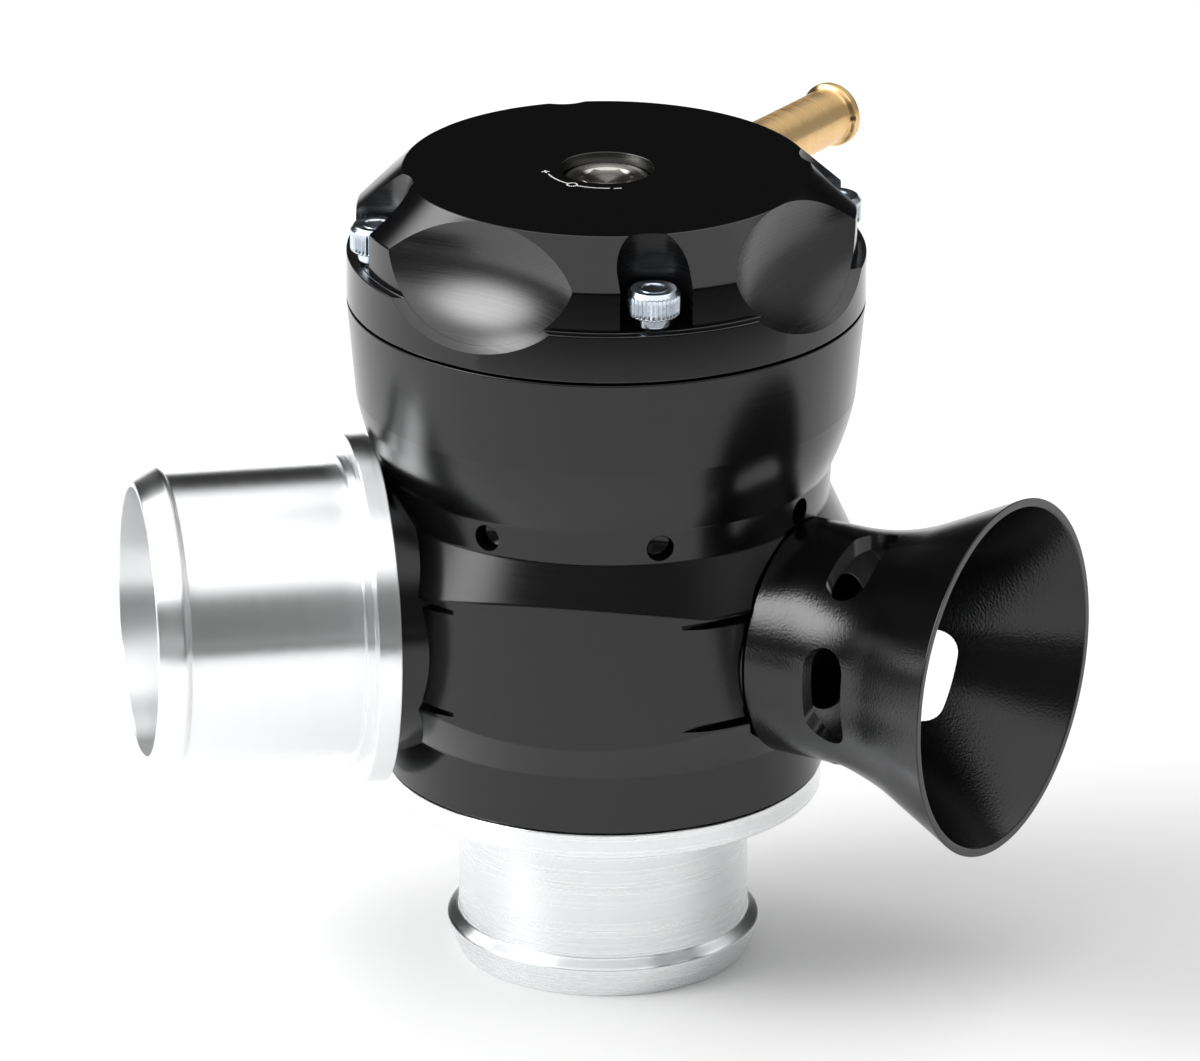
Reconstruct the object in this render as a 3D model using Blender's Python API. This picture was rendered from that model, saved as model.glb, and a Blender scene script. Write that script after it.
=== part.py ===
"""Blow off valve: a sprung piston in a turned body, with a port back to the intake and a trumpet.

Lengths are metres and angles are degrees. Z points up along the valve's axis, and the origin
is on that axis at the open end of the inlet pipe. Azimuths are counted from +X towards +Y.
"""

import math

import bmesh
import bpy
from mathutils import Matrix, Vector

# Clearances
FACE_GAP = 0.0003
RUNNING_GAP = 0.0003
CUTTER_OVERSHOOT = 0.0010
WELD_DISTANCE = 0.00001

# Facets round the large and the small turned pieces
LARGE_STEPS = 48
PIPE_STEPS = 36
SMALL_STEPS = 16
SEAL_STEPS = 24
WIRE_SIDES = 6

# Inlet adaptor
INLET_PIPE_RADIUS = 0.0164
INLET_PIPE_WALL = 0.0015
INLET_PIPE_LENGTH = 0.0203
INLET_BEAD_RISE = 0.0014
INLET_BEAD_HEIGHT = 0.0044
INLET_BEAD_LENGTH = 0.0050
INLET_FLANGE_SET_IN = 0.0002
INLET_FLANGE_THICKNESS = 0.00275
INLET_PLUG_LENGTH = 0.00595
INLET_PLUG_STEP = 0.0010

# Bores of the body
MAIN_BORE_RADIUS = 0.0170
UPPER_BORE_STEP = 0.0020
PORT_LEDGE = 0.00075

# Outside of the body, from its foot upwards
FOOT_WALL = 0.0078
FOOT_HEIGHT = 0.00655
LOWER_FLARE_HEIGHT = 0.0058
BELLY_SWELL = 0.0032
BELLY_HEIGHT = 0.0137
UPPER_FLARE_HEIGHT = 0.0061
WAIST_WALL = 0.0082
WAIST_HEIGHT = 0.0038
WAIST_TAPER = 0.0002
SHOULDER_SPREAD = 0.0026
SHOULDER_HEIGHT = 0.0080
SHOULDER_BULGE = 0.0003
BARREL_HEIGHT = 0.0108
BARREL_TAPER = 0.0010

# Milled faces on the front and the back of the belly
BELLY_FACE_DEPTH = 0.0008
BELLY_FACE_RADIUS = 0.0331

# Ports and their slots for the retaining wires
OUTLET_AZIMUTH = 190.7
TRUMPET_AZIMUTH = 330.2
OUTLET_FACE_SET_IN = 0.0019
TRUMPET_FACE_SET_IN = 0.0030
OUTLET_BOSS_WALL = 0.0014
TRUMPET_BOSS_WALL = 0.0030
TRUMPET_SPOT_WIDTH = 0.0006
WIRE_SLOT_OFFSET = 0.0061
WIRE_SLOT_START = 44.0
WIRE_SLOT_FLOOR_ANGLE = 18.2
WIRE_SLOT_FLOOR_SET_IN = 0.0012
WIRE_SLOT_FLOOR_WIDTH = 0.0005
WIRE_SLOT_MOUTH_WIDTH = 0.0018
WIRE_SLOT_REACH = 0.0030

# Spanner holes in the waist
SPANNER_HOLES = 8
SPANNER_HOLE_AZIMUTH = 14.0
SPANNER_HOLE_RADIUS = 0.00155
SPANNER_HOLE_DEPTH = 0.0022
SPANNER_POINT_DEPTH = 0.0009

# Outlet adaptor, with distances along the port's axis
OUTLET_PIPE_RADIUS = 0.0164
OUTLET_PIPE_WALL = 0.0013
OUTLET_PIPE_LENGTH = 0.0231
OUTLET_BEAD_RISE = 0.0008
OUTLET_BEAD_FROM_END = 0.0028
OUTLET_BEAD_LENGTH = 0.0020
OUTLET_MOUTH_LIP = 0.0006
OUTLET_FLANGE_WIDTH = 0.0032
OUTLET_FLANGE_THICKNESS = 0.0026
OUTLET_COLLAR_WIDTH = 0.0009
OUTLET_COLLAR_LENGTH = 0.0010
OUTLET_PLUG_STEP = 0.0019
OUTLET_PLUG_LENGTH = 0.0061
OUTLET_PLUG_WALL = 0.0025
OUTLET_WINDOW_STEP = 0.0018

# Trumpet
TRUMPET_NECK_RADIUS = 0.01325
TRUMPET_NECK_LENGTH = 0.0050
TRUMPET_FLARE_RADIUS = 0.0270
TRUMPET_FLARE_ANGLE = 26.0
TRUMPET_LENGTH = 0.0257
TRUMPET_LIP = 0.0010
TRUMPET_THROAT_WALL = 0.0021
TRUMPET_THROAT_DEPTH = 0.0182
TRUMPET_FLOOR_THICKNESS = 0.0043
TRUMPET_SPIGOT_RADIUS = 0.0097
TRUMPET_SPIGOT_LENGTH = 0.0056
TRUMPET_BORE_WALL = 0.0021
TRUMPET_WINDOWS = 4
TRUMPET_WINDOW_ANGLE = -10.5
TRUMPET_WINDOW_SPAN = 58.0
TRUMPET_WINDOW_WIDTH = 0.0054
TRUMPET_WINDOW_DISTANCE = 0.0097

# Head cap
CAP_RIM_HEIGHT = 0.0054
CAP_LEDGE_WIDTH = 0.0011
CAP_WALL_HEIGHT = 0.0047
CAP_CONE_HEIGHT = 0.0047
CAP_CONE_RUN = 0.0052
CAP_TOP_THICKNESS = 0.0052
CAP_PLUG_WALL = 0.0047
CAP_HUB_RADIUS = 0.0080
CAP_HUB_LENGTH = 0.0031
SCALLOPS = 4
SCALLOP_AZIMUTH = 56.5
SCALLOP_SLOPE_REACH = 0.0116
SCALLOP_DEPTH_REACH = 0.0116
SCALLOP_WIDTH_REACH = 0.0200
SCALLOP_CENTRE_OUT = 0.0091
SCALLOP_MIDDLE_SET_IN = 0.00316
SCALLOP_MIDDLE_RISE = 0.00295
SCALLOP_TILT = 26.1
KEYWAY_AZIMUTH = 146.5
KEYWAY_DEPTH = 0.0014
KEYWAY_WIDTH = 0.0034

# Cap screws
CAP_SCREWS = 4
CAP_SCREW_AZIMUTH = 11.5
CAP_SCREW_SET_IN = 0.0030
CAP_SCREW_HEAD_RADIUS = 0.00275
CAP_SCREW_HEAD_HEIGHT = 0.0030
CAP_SCREW_COLLAR_RADIUS = 0.0020
CAP_SCREW_COLLAR_HEIGHT = 0.0011
CAP_SCREW_SHANK_RADIUS = 0.0014
CAP_SCREW_SHANK_LENGTH = 0.0132
CAP_SCREW_HEX_WIDTH = 0.0025
CAP_SCREW_HEX_DEPTH = 0.0015
CAP_POCKET_RADIUS = 0.00385
CAP_POCKET_RISE = 0.0001
SCREW_HOLE_GAP = 0.0003

# Preload screw, its clip and the spring seat
PRELOAD_HEAD_RADIUS = 0.0050
PRELOAD_HEAD_HEIGHT = 0.0040
PRELOAD_HEAD_RECESS = 0.0010
PRELOAD_HEAD_CLEARANCE = 0.00025
PRELOAD_NECK_RADIUS = 0.0040
PRELOAD_THREAD_RADIUS = 0.0030
PRELOAD_HEX_WIDTH = 0.0050
PRELOAD_HEX_DEPTH = 0.0025
PRELOAD_TRAVEL = 0.0040
CLIP_THICKNESS = 0.0010
CLIP_WIDTH = 0.0026
CLIP_GAP_ANGLE = 70.0
CLIP_GROOVE_DEPTH = 0.0008
SEAT_FLANGE_SIDE_GAP = 0.0018
SEAT_FLANGE_THICKNESS = 0.0030
SEAT_HUB_RADIUS = 0.0055
SEAT_HUB_LENGTH = 0.0050

# Piston
PISTON_STROKE = 0.0100
PISTON_END_GAP = 0.0005
PISTON_LAND_DROP = 0.0007
PISTON_LAND_HEIGHT = 0.0064
PISTON_WALL = 0.0027
PISTON_FLOOR_THICKNESS = 0.0042
PISTON_DISH_DEPTH = 0.0012
WEAR_RING_HEIGHT = 0.0018
WEAR_RING_THICKNESS = 0.0010

# Spring
SPRING_WIRE_RADIUS = 0.00095
SPRING_TURNS = 7.0
SPRING_END_TURNS = 1.0
SPRING_SIDE_GAP = 0.0022
SPRING_POINTS_PER_TURN = 16

# Seals and snap rings, by the radius of their section
SEAL_RADIUS = 0.00060
SEAL_GROOVE_MARGIN = 0.0003
SNAP_WIRE_RADIUS = 0.00055
SNAP_RING_GAP_ANGLE = 40.0
SEAL_LAND = 0.0010

# Vacuum nipple
NIPPLE_AZIMUTH = 56.0
NIPPLE_DROP = 0.0068
NIPPLE_RADIUS = 0.0032
NIPPLE_BARB_RISE = 0.0005
NIPPLE_BARB_LENGTH = 0.0018
NIPPLE_BORE_RADIUS = 0.0020
NIPPLE_TIP = 0.0482
NIPPLE_SOCKET_BOTTOM = 0.0175

# Heights of the fixed faces above the inlet pipe's open end
flange_top = INLET_PIPE_LENGTH + INLET_FLANGE_THICKNESS
body_bottom = flange_top + FACE_GAP
foot_top = body_bottom + FOOT_HEIGHT
belly_bottom = foot_top + LOWER_FLARE_HEIGHT
belly_top = belly_bottom + BELLY_HEIGHT
waist_bottom = belly_top + UPPER_FLARE_HEIGHT
waist_top = waist_bottom + WAIST_HEIGHT
shoulder_top = waist_top + SHOULDER_HEIGHT
body_top = shoulder_top + BARREL_HEIGHT
port_height = belly_bottom + BELLY_HEIGHT / 2

# Radii of the body, and the faces of its ports
foot_radius = MAIN_BORE_RADIUS + FOOT_WALL
belly_radius = foot_radius + BELLY_SWELL
waist_radius = MAIN_BORE_RADIUS + WAIST_WALL
shoulder_radius = waist_radius + WAIST_TAPER + SHOULDER_SPREAD
head_radius = shoulder_radius + BARREL_TAPER
upper_bore_radius = MAIN_BORE_RADIUS + UPPER_BORE_STEP
outlet_face = belly_radius - OUTLET_FACE_SET_IN
trumpet_face = belly_radius - TRUMPET_FACE_SET_IN
outlet_plug_radius = OUTLET_PIPE_RADIUS - OUTLET_PLUG_STEP
outlet_socket_radius = outlet_plug_radius + FACE_GAP
outlet_window_radius = outlet_socket_radius - OUTLET_WINDOW_STEP
outlet_socket_floor = outlet_face - OUTLET_PLUG_LENGTH
trumpet_socket_radius = TRUMPET_SPIGOT_RADIUS + FACE_GAP
trumpet_bore_radius = TRUMPET_SPIGOT_RADIUS - TRUMPET_BORE_WALL
trumpet_socket_floor = trumpet_face - TRUMPET_SPIGOT_LENGTH
inlet_plug_radius = MAIN_BORE_RADIUS + INLET_PLUG_STEP
inlet_socket_radius = inlet_plug_radius + FACE_GAP
inlet_plug_top = flange_top + INLET_PLUG_LENGTH
inlet_socket_top = inlet_plug_top + FACE_GAP
inlet_bore_radius = INLET_PIPE_RADIUS - INLET_PIPE_WALL
upper_bore_floor = port_height + outlet_window_radius + PORT_LEDGE

# Heights and radii of the piston
piston_bottom = inlet_plug_top + FACE_GAP
piston_floor = piston_bottom + PISTON_FLOOR_THICKNESS
piston_land_bottom = upper_bore_floor + PISTON_LAND_DROP
piston_top = piston_land_bottom + PISTON_LAND_HEIGHT
piston_radius = MAIN_BORE_RADIUS - RUNNING_GAP
piston_land_radius = upper_bore_radius - RUNNING_GAP
piston_cup_radius = piston_radius - PISTON_WALL

# Heights and radii of the head cap
cap_bottom = body_top + FACE_GAP
cap_ledge = cap_bottom + CAP_RIM_HEIGHT
cap_wall_top = cap_ledge + CAP_WALL_HEIGHT
cap_top = cap_wall_top + CAP_CONE_HEIGHT
cap_wall_radius = head_radius - CAP_LEDGE_WIDTH
cap_disc_radius = cap_wall_radius - CAP_CONE_RUN
cap_plug_bottom = piston_top + PISTON_STROKE + PISTON_END_GAP
cap_plug_radius = upper_bore_radius - FACE_GAP
cap_chamber_radius = cap_plug_radius - CAP_PLUG_WALL
cap_chamber_top = cap_top - CAP_TOP_THICKNESS
cap_hub_bottom = cap_chamber_top - CAP_HUB_LENGTH
cap_pocket_floor = cap_ledge + CAP_POCKET_RISE
cap_screw_circle = head_radius - CAP_SCREW_SET_IN

# Heights of the preload screw and the spring seat
preload_head_top = cap_top - PRELOAD_HEAD_RECESS
preload_head_bottom = preload_head_top - PRELOAD_HEAD_HEIGHT
preload_counterbore_floor = preload_head_bottom - FACE_GAP
clip_top = cap_hub_bottom - FACE_GAP
clip_bottom = clip_top - CLIP_THICKNESS
preload_neck_bottom = clip_bottom - SEAL_LAND
seat_top = preload_neck_bottom - FACE_GAP
seat_bottom = seat_top - SEAT_FLANGE_THICKNESS
seat_hub_bottom = seat_bottom - SEAT_HUB_LENGTH
preload_tip = seat_hub_bottom - PRELOAD_TRAVEL - SEAL_LAND
seat_flange_radius = cap_chamber_radius - SEAT_FLANGE_SIDE_GAP

# Heights of the cap screws
cap_screw_seat = cap_pocket_floor + FACE_GAP
cap_screw_head_bottom = cap_screw_seat + CAP_SCREW_COLLAR_HEIGHT
cap_screw_head_top = cap_screw_head_bottom + CAP_SCREW_HEAD_HEIGHT
cap_screw_tip = cap_screw_seat - CAP_SCREW_SHANK_LENGTH

# Middles of the seals and the snap rings, along each piece's own axis
inlet_snap_height = (flange_top + inlet_plug_top) / 2 - SEAL_LAND
inlet_seal_height = inlet_snap_height + 2 * SEAL_LAND + SEAL_GROOVE_MARGIN
outlet_snap_distance = outlet_face - SEAL_LAND - SNAP_WIRE_RADIUS
outlet_seal_distance = outlet_snap_distance - 2 * SEAL_LAND - SEAL_GROOVE_MARGIN
trumpet_seal_distance = trumpet_face - SEAL_LAND - SEAL_RADIUS
cap_seal_height = (cap_bottom + cap_plug_bottom) / 2
preload_seal_height = (preload_head_bottom + cap_hub_bottom) / 2
piston_seal_height = piston_land_bottom + SEAL_LAND / 2 + SEAL_GROOVE_MARGIN + SEAL_RADIUS
wear_ring_bottom = piston_seal_height + SEAL_RADIUS + 2 * SEAL_GROOVE_MARGIN + SEAL_LAND / 2

# Directions: the spring seat's keys, and the trumpet's windows in a frame whose X points up
key_azimuths = (KEYWAY_AZIMUTH, KEYWAY_AZIMUTH + 180.0)
trumpet_window_start = 90.0 - TRUMPET_WINDOW_ANGLE
nipple_height = cap_top - NIPPLE_DROP

# Milled faces of the belly, square to the line halfway between the two ports
front_face_azimuth = (OUTLET_AZIMUTH + TRUMPET_AZIMUTH) / 2


# Placing and finishing


def upright_frame(azimuth, radius=0.0, height=0.0):
    """Z stays up, X points outwards at the azimuth."""
    turn = Matrix.Rotation(math.radians(azimuth), 4, "Z")
    return turn @ Matrix.Translation((radius, 0.0, height))


def radial_frame(azimuth, height):
    """Z points outwards at the azimuth and X points up, with the origin on the valve's axis."""
    outward = Vector((math.cos(math.radians(azimuth)), math.sin(math.radians(azimuth)), 0.0))
    upward = Vector((0.0, 0.0, 1.0))
    sideways = outward.cross(upward)
    frame = Matrix((upward, sideways, outward)).transposed().to_4x4()
    frame.translation = (0.0, 0.0, height)
    return frame


def make_material(name, colour, metallic, roughness):
    """A plain finish of one colour."""
    material = bpy.data.materials.new(name)
    material.use_nodes = True
    shader = material.node_tree.nodes["Principled BSDF"]
    shader.inputs["Base Color"].default_value = (*colour, 1.0)
    shader.inputs["Metallic"].default_value = metallic
    shader.inputs["Roughness"].default_value = roughness
    return material


def add_object(name, form, frame=None):
    """Turns a finished bmesh into an object, with smooth faces and sharp edges."""
    bmesh.ops.recalc_face_normals(form, faces=form.faces)
    mesh = bpy.data.meshes.new(name)
    form.to_mesh(mesh)
    form.free()
    mesh.shade_smooth()
    mesh.set_sharp_from_angle(angle=math.radians(30.0))
    piece = bpy.data.objects.new(name, mesh)
    bpy.context.scene.collection.objects.link(piece)
    if frame is not None:
        piece.matrix_world = frame
    return piece


def as_cutter(piece):
    """Keeps a piece as a tool for cutting others, out of renders."""
    piece.hide_render = True
    piece.display_type = "WIRE"
    return piece


def combine(piece, tool, operation):
    """Cuts the tool out of the piece, or adds it to the piece, and welds what nearly meets."""
    as_cutter(tool)
    modifier = piece.modifiers.new(tool.name, "BOOLEAN")
    modifier.operation = operation
    modifier.solver = "EXACT"
    modifier.object = tool
    weld = piece.modifiers.new(tool.name + "_weld", "WELD")
    weld.merge_threshold = WELD_DISTANCE


def finish(piece, colour, metallic, roughness):
    """Gives a piece its own material."""
    piece.data.materials.append(make_material(piece.name, colour, metallic, roughness))
    return piece


BLACK_ANODISED = ((0.012, 0.012, 0.013), 0.6, 0.32)
BARE_ALUMINIUM = ((0.78, 0.79, 0.80), 1.0, 0.28)
ZINC_PLATED_STEEL = ((0.62, 0.67, 0.74), 1.0, 0.25)
STAINLESS_STEEL = ((0.55, 0.55, 0.54), 1.0, 0.30)
SPRING_STEEL = ((0.30, 0.30, 0.31), 1.0, 0.35)
BRASS = ((0.78, 0.55, 0.26), 1.0, 0.22)
NITRILE_RUBBER = ((0.010, 0.010, 0.010), 0.0, 0.60)
WEAR_BAND = ((0.30, 0.22, 0.12), 0.0, 0.50)


# Shapes


def turned(name, outline, steps, frame=None):
    """Spins an outline of (radius, height) points once round the Z axis into a solid.

    The outline closes on itself, and an edge that lies on the axis makes no face.
    """
    form = bmesh.new()
    points = [form.verts.new((radius, 0.0, height)) for radius, height in outline]
    edges = []
    for start, end in zip(points, points[1:] + points[:1]):
        if start.co.x > 0.0 or end.co.x > 0.0:
            edges.append(form.edges.new((start, end)))
    bmesh.ops.spin(
        form, geom=points + edges, cent=(0, 0, 0), axis=(0, 0, 1),
        angle=math.tau, steps=steps, use_merge=True,
    )
    bmesh.ops.remove_doubles(form, verts=form.verts, dist=1e-7)
    return add_object(name, form, frame)


def turned_part_way(name, outline, angle, steps, frame=None):
    """Spins a closed outline part of the way round Z, with both ends closed."""
    form = bmesh.new()
    start = Matrix.Rotation(math.radians(90.0 - angle / 2), 4, "Z")
    points = [form.verts.new(start @ Vector((radius, 0.0, height))) for radius, height in outline]
    face = form.faces.new(points)
    bmesh.ops.spin(
        form, geom=[face], cent=(0, 0, 0), axis=(0, 0, 1),
        angle=math.radians(angle), steps=steps,
    )
    return add_object(name, form, frame)


def section(radius, height, section_radius):
    """The outline of a round section, centred at a radius and a height."""
    turns = [math.tau * (step + 0.5) / WIRE_SIDES for step in range(WIRE_SIDES)]
    return [
        (radius + section_radius * math.cos(turn), height + section_radius * math.sin(turn))
        for turn in turns
    ]


def wire(name, points, wire_radius):
    """A round wire along a coil's points, with its sections upright and both ends closed."""
    form = bmesh.new()
    rings = []
    for point in points:
        outward = Vector((point.x, point.y, 0.0)).normalized()
        upward = Vector((0.0, 0.0, 1.0))
        rings.append([
            form.verts.new(point + outward * across + upward * along)
            for across, along in section(0.0, 0.0, wire_radius)
        ])
    for first, second in zip(rings, rings[1:]):
        for side in range(WIRE_SIDES):
            following = (side + 1) % WIRE_SIDES
            form.faces.new([first[side], first[following], second[following], second[side]])
    form.faces.new(rings[0])
    form.faces.new(rings[-1])
    return add_object(name, form)


def upright_prism(name, outline, bottom, top, frame=None):
    """Raises a flat outline of (x, y) points from one height to another."""
    form = bmesh.new()
    face = form.faces.new([form.verts.new((x, y, bottom)) for x, y in outline])
    raised = bmesh.ops.extrude_face_region(form, geom=[face])
    risen = [item for item in raised["geom"] if isinstance(item, bmesh.types.BMVert)]
    bmesh.ops.translate(form, verts=risen, vec=(0, 0, top - bottom))
    return add_object(name, form, frame)


def block(name, low, high, frame=None):
    """A rectangular block between two opposite corners."""
    outline = [(low[0], low[1]), (high[0], low[1]), (high[0], high[1]), (low[0], high[1])]
    return upright_prism(name, outline, low[2], high[2], frame)


def hexagon_hole(name, width, bottom, top, frame=None):
    """A hexagonal socket for a key of the width across its flats."""
    corner = width / math.sqrt(3.0)
    outline = [
        (corner * math.cos(math.tau * side / 6), corner * math.sin(math.tau * side / 6))
        for side in range(6)
    ]
    return upright_prism(name, outline, bottom, top, frame)


def groove_in_outside(radius, low, high, floor):
    """Outline points of a groove, going down the outside of a turned piece."""
    return [(radius, high), (floor, high), (floor, low), (radius, low)]


def seal_groove(middle):
    """The low and high edges of a groove that holds a seal with its margin."""
    half = SEAL_RADIUS + SEAL_GROOVE_MARGIN
    return middle - half, middle + half


def seal_floor(outer_radius):
    """The floor of a groove in a plug of the given radius."""
    return outer_radius - 2 * SEAL_RADIUS - SEAL_GROOVE_MARGIN


def seal_circle(outer_radius):
    """The radius of the seal's own circle, clear of its socket and of its groove's floor."""
    return outer_radius - SEAL_RADIUS


# Body


def body_outline():
    """The outside of the body from the top down, closed over the axis."""
    outline = [(0.0, body_top), (head_radius, body_top)]
    curve_steps = 6
    waist_top_radius = waist_radius + WAIST_TAPER
    for step in range(curve_steps + 1):
        share = step / curve_steps
        radius = shoulder_radius + (waist_top_radius - shoulder_radius) * share
        bulge = 4 * SHOULDER_BULGE * share * (1 - share)
        outline.append((radius + bulge, shoulder_top - SHOULDER_HEIGHT * share))
    outline += [
        (waist_radius, waist_bottom),
        (belly_radius, belly_top),
        (belly_radius, belly_bottom),
        (foot_radius, foot_top),
        (foot_radius, body_bottom),
        (0.0, body_bottom),
    ]
    return outline


def flatten_belly(body):
    """Draws the belly in to the milled faces on its front and its back.

    Seen from above a face is an arc of BELLY_FACE_RADIUS whose middle lies BELLY_FACE_DEPTH
    inside the belly. Above and below, the face ends where it meets the cones.
    """
    centre = belly_radius - BELLY_FACE_DEPTH - BELLY_FACE_RADIUS
    lower_slope = LOWER_FLARE_HEIGHT / BELLY_SWELL
    upper_slope = UPPER_FLARE_HEIGHT / (belly_radius - waist_radius)
    for vertex in body.data.vertices:
        place = vertex.co
        if not belly_bottom - 1e-6 < place.z < belly_top + 1e-6:
            continue
        turn = math.atan2(place.y, place.x) - math.radians(front_face_azimuth)
        across = abs(centre * math.sin(turn))
        reach = math.sqrt(BELLY_FACE_RADIUS ** 2 - across ** 2) + centre * abs(math.cos(turn))
        drawn_in = max(belly_radius - reach, 0.0)
        scale = (belly_radius - drawn_in) / belly_radius
        rise = upper_slope if place.z > port_height else -lower_slope
        vertex.co = (place.x * scale, place.y * scale, place.z + rise * drawn_in)


def wire_slot_cutter(name, azimuth, side, level, end_across):
    """A narrow slot that starts on the belly's skin and deepens towards a port.

    Its floor is straight seen from above, from the skin at WIRE_SLOT_START from the port's
    axis, and it gets wider with depth. side is 1 or -1, and level is above the port's axis.
    """
    start_turn = math.radians(WIRE_SLOT_START)
    start = Vector((math.cos(start_turn), math.sin(start_turn))) * belly_radius
    end_turn = math.radians(WIRE_SLOT_START - WIRE_SLOT_FLOOR_ANGLE)
    end_radius = belly_radius - WIRE_SLOT_FLOOR_SET_IN
    end = Vector((math.cos(end_turn), math.sin(end_turn))) * end_radius
    direction = (end - start).normalized()
    end = start + direction * ((end_across - start.y) / direction.y)
    outward = Vector((-direction.y, direction.x))
    if outward.dot(start) < 0:
        outward = -outward
    start_out = start + outward * WIRE_SLOT_REACH
    end_out = end + outward * WIRE_SLOT_REACH
    floor_half = WIRE_SLOT_FLOOR_WIDTH / 2
    mouth_half = WIRE_SLOT_MOUTH_WIDTH / 2
    form = bmesh.new()
    rings = []
    for sign in (-1, 1):
        corners = [(start, floor_half), (end, floor_half), (end_out, mouth_half), (start_out, mouth_half)]
        rings.append([
            form.verts.new((point.x, side * point.y, port_height + level + sign * half))
            for point, half in corners
        ])
    form.faces.new(rings[0])
    form.faces.new(rings[1])
    for first, second in ((0, 1), (1, 2), (2, 3), (3, 0)):
        form.faces.new([rings[0][first], rings[0][second], rings[1][second], rings[1][first]])
    return add_object(name, form, upright_frame(azimuth))


def make_valve_body():
    """The turned and milled body, with its stepped bore, two ports and spanner holes."""
    body = turned("valve_body", body_outline(), LARGE_STEPS)
    flatten_belly(body)

    outlet_boss_radius = outlet_socket_radius + OUTLET_BOSS_WALL
    outlet_spot_radius = OUTLET_PIPE_RADIUS + OUTLET_FLANGE_WIDTH + FACE_GAP
    trumpet_boss_radius = trumpet_socket_radius + TRUMPET_BOSS_WALL
    trumpet_spot_radius = trumpet_boss_radius + TRUMPET_SPOT_WIDTH
    ports = (
        ("outlet", OUTLET_AZIMUTH, outlet_face, outlet_boss_radius, outlet_spot_radius),
        ("trumpet", TRUMPET_AZIMUTH, trumpet_face, trumpet_boss_radius, trumpet_spot_radius),
    )
    boss_root = MAIN_BORE_RADIUS / 2
    for label, azimuth, face, boss_radius, spot_radius in ports:
        slot_end = math.sqrt(boss_radius ** 2 - WIRE_SLOT_OFFSET ** 2) - CUTTER_OVERSHOOT
        for side in (-1, 1):
            for level in (-WIRE_SLOT_OFFSET, WIRE_SLOT_OFFSET):
                name = "{}_slot_cutter_{}_{}".format(label, side, "low" if level < 0 else "high")
                combine(body, wire_slot_cutter(name, azimuth, side, level, slot_end), "DIFFERENCE")
        frame = radial_frame(azimuth, port_height)
        boss_end = face + CUTTER_OVERSHOOT
        boss = [(0.0, boss_end), (boss_radius, boss_end), (boss_radius, boss_root), (0.0, boss_root)]
        combine(body, turned(label + "_boss", boss, PIPE_STEPS, frame), "UNION")
        spot_top = belly_radius + CUTTER_OVERSHOOT
        spot = [(0.0, spot_top), (spot_radius, spot_top), (spot_radius, face), (0.0, face)]
        combine(body, turned(label + "_spot_face_cutter", spot, PIPE_STEPS, frame), "DIFFERENCE")

    bore = [
        (0.0, body_top + CUTTER_OVERSHOOT),
        (upper_bore_radius, body_top + CUTTER_OVERSHOOT),
        (upper_bore_radius, upper_bore_floor),
        (MAIN_BORE_RADIUS, upper_bore_floor),
        (MAIN_BORE_RADIUS, inlet_socket_top),
        (inlet_socket_radius, inlet_socket_top),
    ]
    bore += snap_groove_in_socket(inlet_socket_radius, inlet_snap_height)
    bore += [
        (inlet_socket_radius, body_bottom - CUTTER_OVERSHOOT),
        (0.0, body_bottom - CUTTER_OVERSHOOT),
    ]
    combine(body, turned("bore_cutter", bore, LARGE_STEPS), "DIFFERENCE")

    window_root = MAIN_BORE_RADIUS / 2
    outlet_port = [(0.0, outlet_face + CUTTER_OVERSHOOT)]
    outlet_port += [(outlet_socket_radius, outlet_face + CUTTER_OVERSHOOT)]
    outlet_port += snap_groove_in_socket(outlet_socket_radius, outlet_snap_distance)
    outlet_port += [
        (outlet_socket_radius, outlet_socket_floor),
        (outlet_window_radius, outlet_socket_floor),
        (outlet_window_radius, window_root),
        (0.0, window_root),
    ]
    frame = radial_frame(OUTLET_AZIMUTH, port_height)
    combine(body, turned("outlet_port_cutter", outlet_port, PIPE_STEPS, frame), "DIFFERENCE")

    trumpet_port = [
        (0.0, trumpet_face + CUTTER_OVERSHOOT),
        (trumpet_socket_radius, trumpet_face + CUTTER_OVERSHOOT),
        (trumpet_socket_radius, trumpet_socket_floor),
        (trumpet_bore_radius, trumpet_socket_floor),
        (trumpet_bore_radius, window_root),
        (0.0, window_root),
    ]
    frame = radial_frame(TRUMPET_AZIMUTH, port_height)
    combine(body, turned("trumpet_port_cutter", trumpet_port, PIPE_STEPS, frame), "DIFFERENCE")

    hole_height = (waist_bottom + waist_top) / 2
    hole_bottom = waist_radius - SPANNER_HOLE_DEPTH
    hole = [
        (0.0, waist_radius + CUTTER_OVERSHOOT),
        (SPANNER_HOLE_RADIUS, waist_radius + CUTTER_OVERSHOOT),
        (SPANNER_HOLE_RADIUS, hole_bottom),
        (0.0, hole_bottom - SPANNER_POINT_DEPTH),
    ]
    for index in range(SPANNER_HOLES):
        azimuth = SPANNER_HOLE_AZIMUTH + 360.0 * index / SPANNER_HOLES
        cutter = turned("spanner_hole_cutter_{}".format(index + 1), hole, 16,
                        radial_frame(azimuth, hole_height))
        combine(body, cutter, "DIFFERENCE")

    hole_radius = CAP_SCREW_SHANK_RADIUS + SCREW_HOLE_GAP
    hole_floor = cap_screw_tip - FACE_GAP
    top = body_top + CUTTER_OVERSHOOT
    hole = [(0.0, top), (hole_radius, top), (hole_radius, hole_floor), (0.0, hole_floor)]
    for index in range(CAP_SCREWS):
        azimuth = CAP_SCREW_AZIMUTH + 360.0 * index / CAP_SCREWS
        cutter = turned("tapped_hole_cutter_{}".format(index + 1), hole, 12,
                        upright_frame(azimuth, cap_screw_circle))
        combine(body, cutter, "DIFFERENCE")
    finish(body, *BLACK_ANODISED)


# Seals, and snap rings that sit half in a plug and half in its socket


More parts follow.
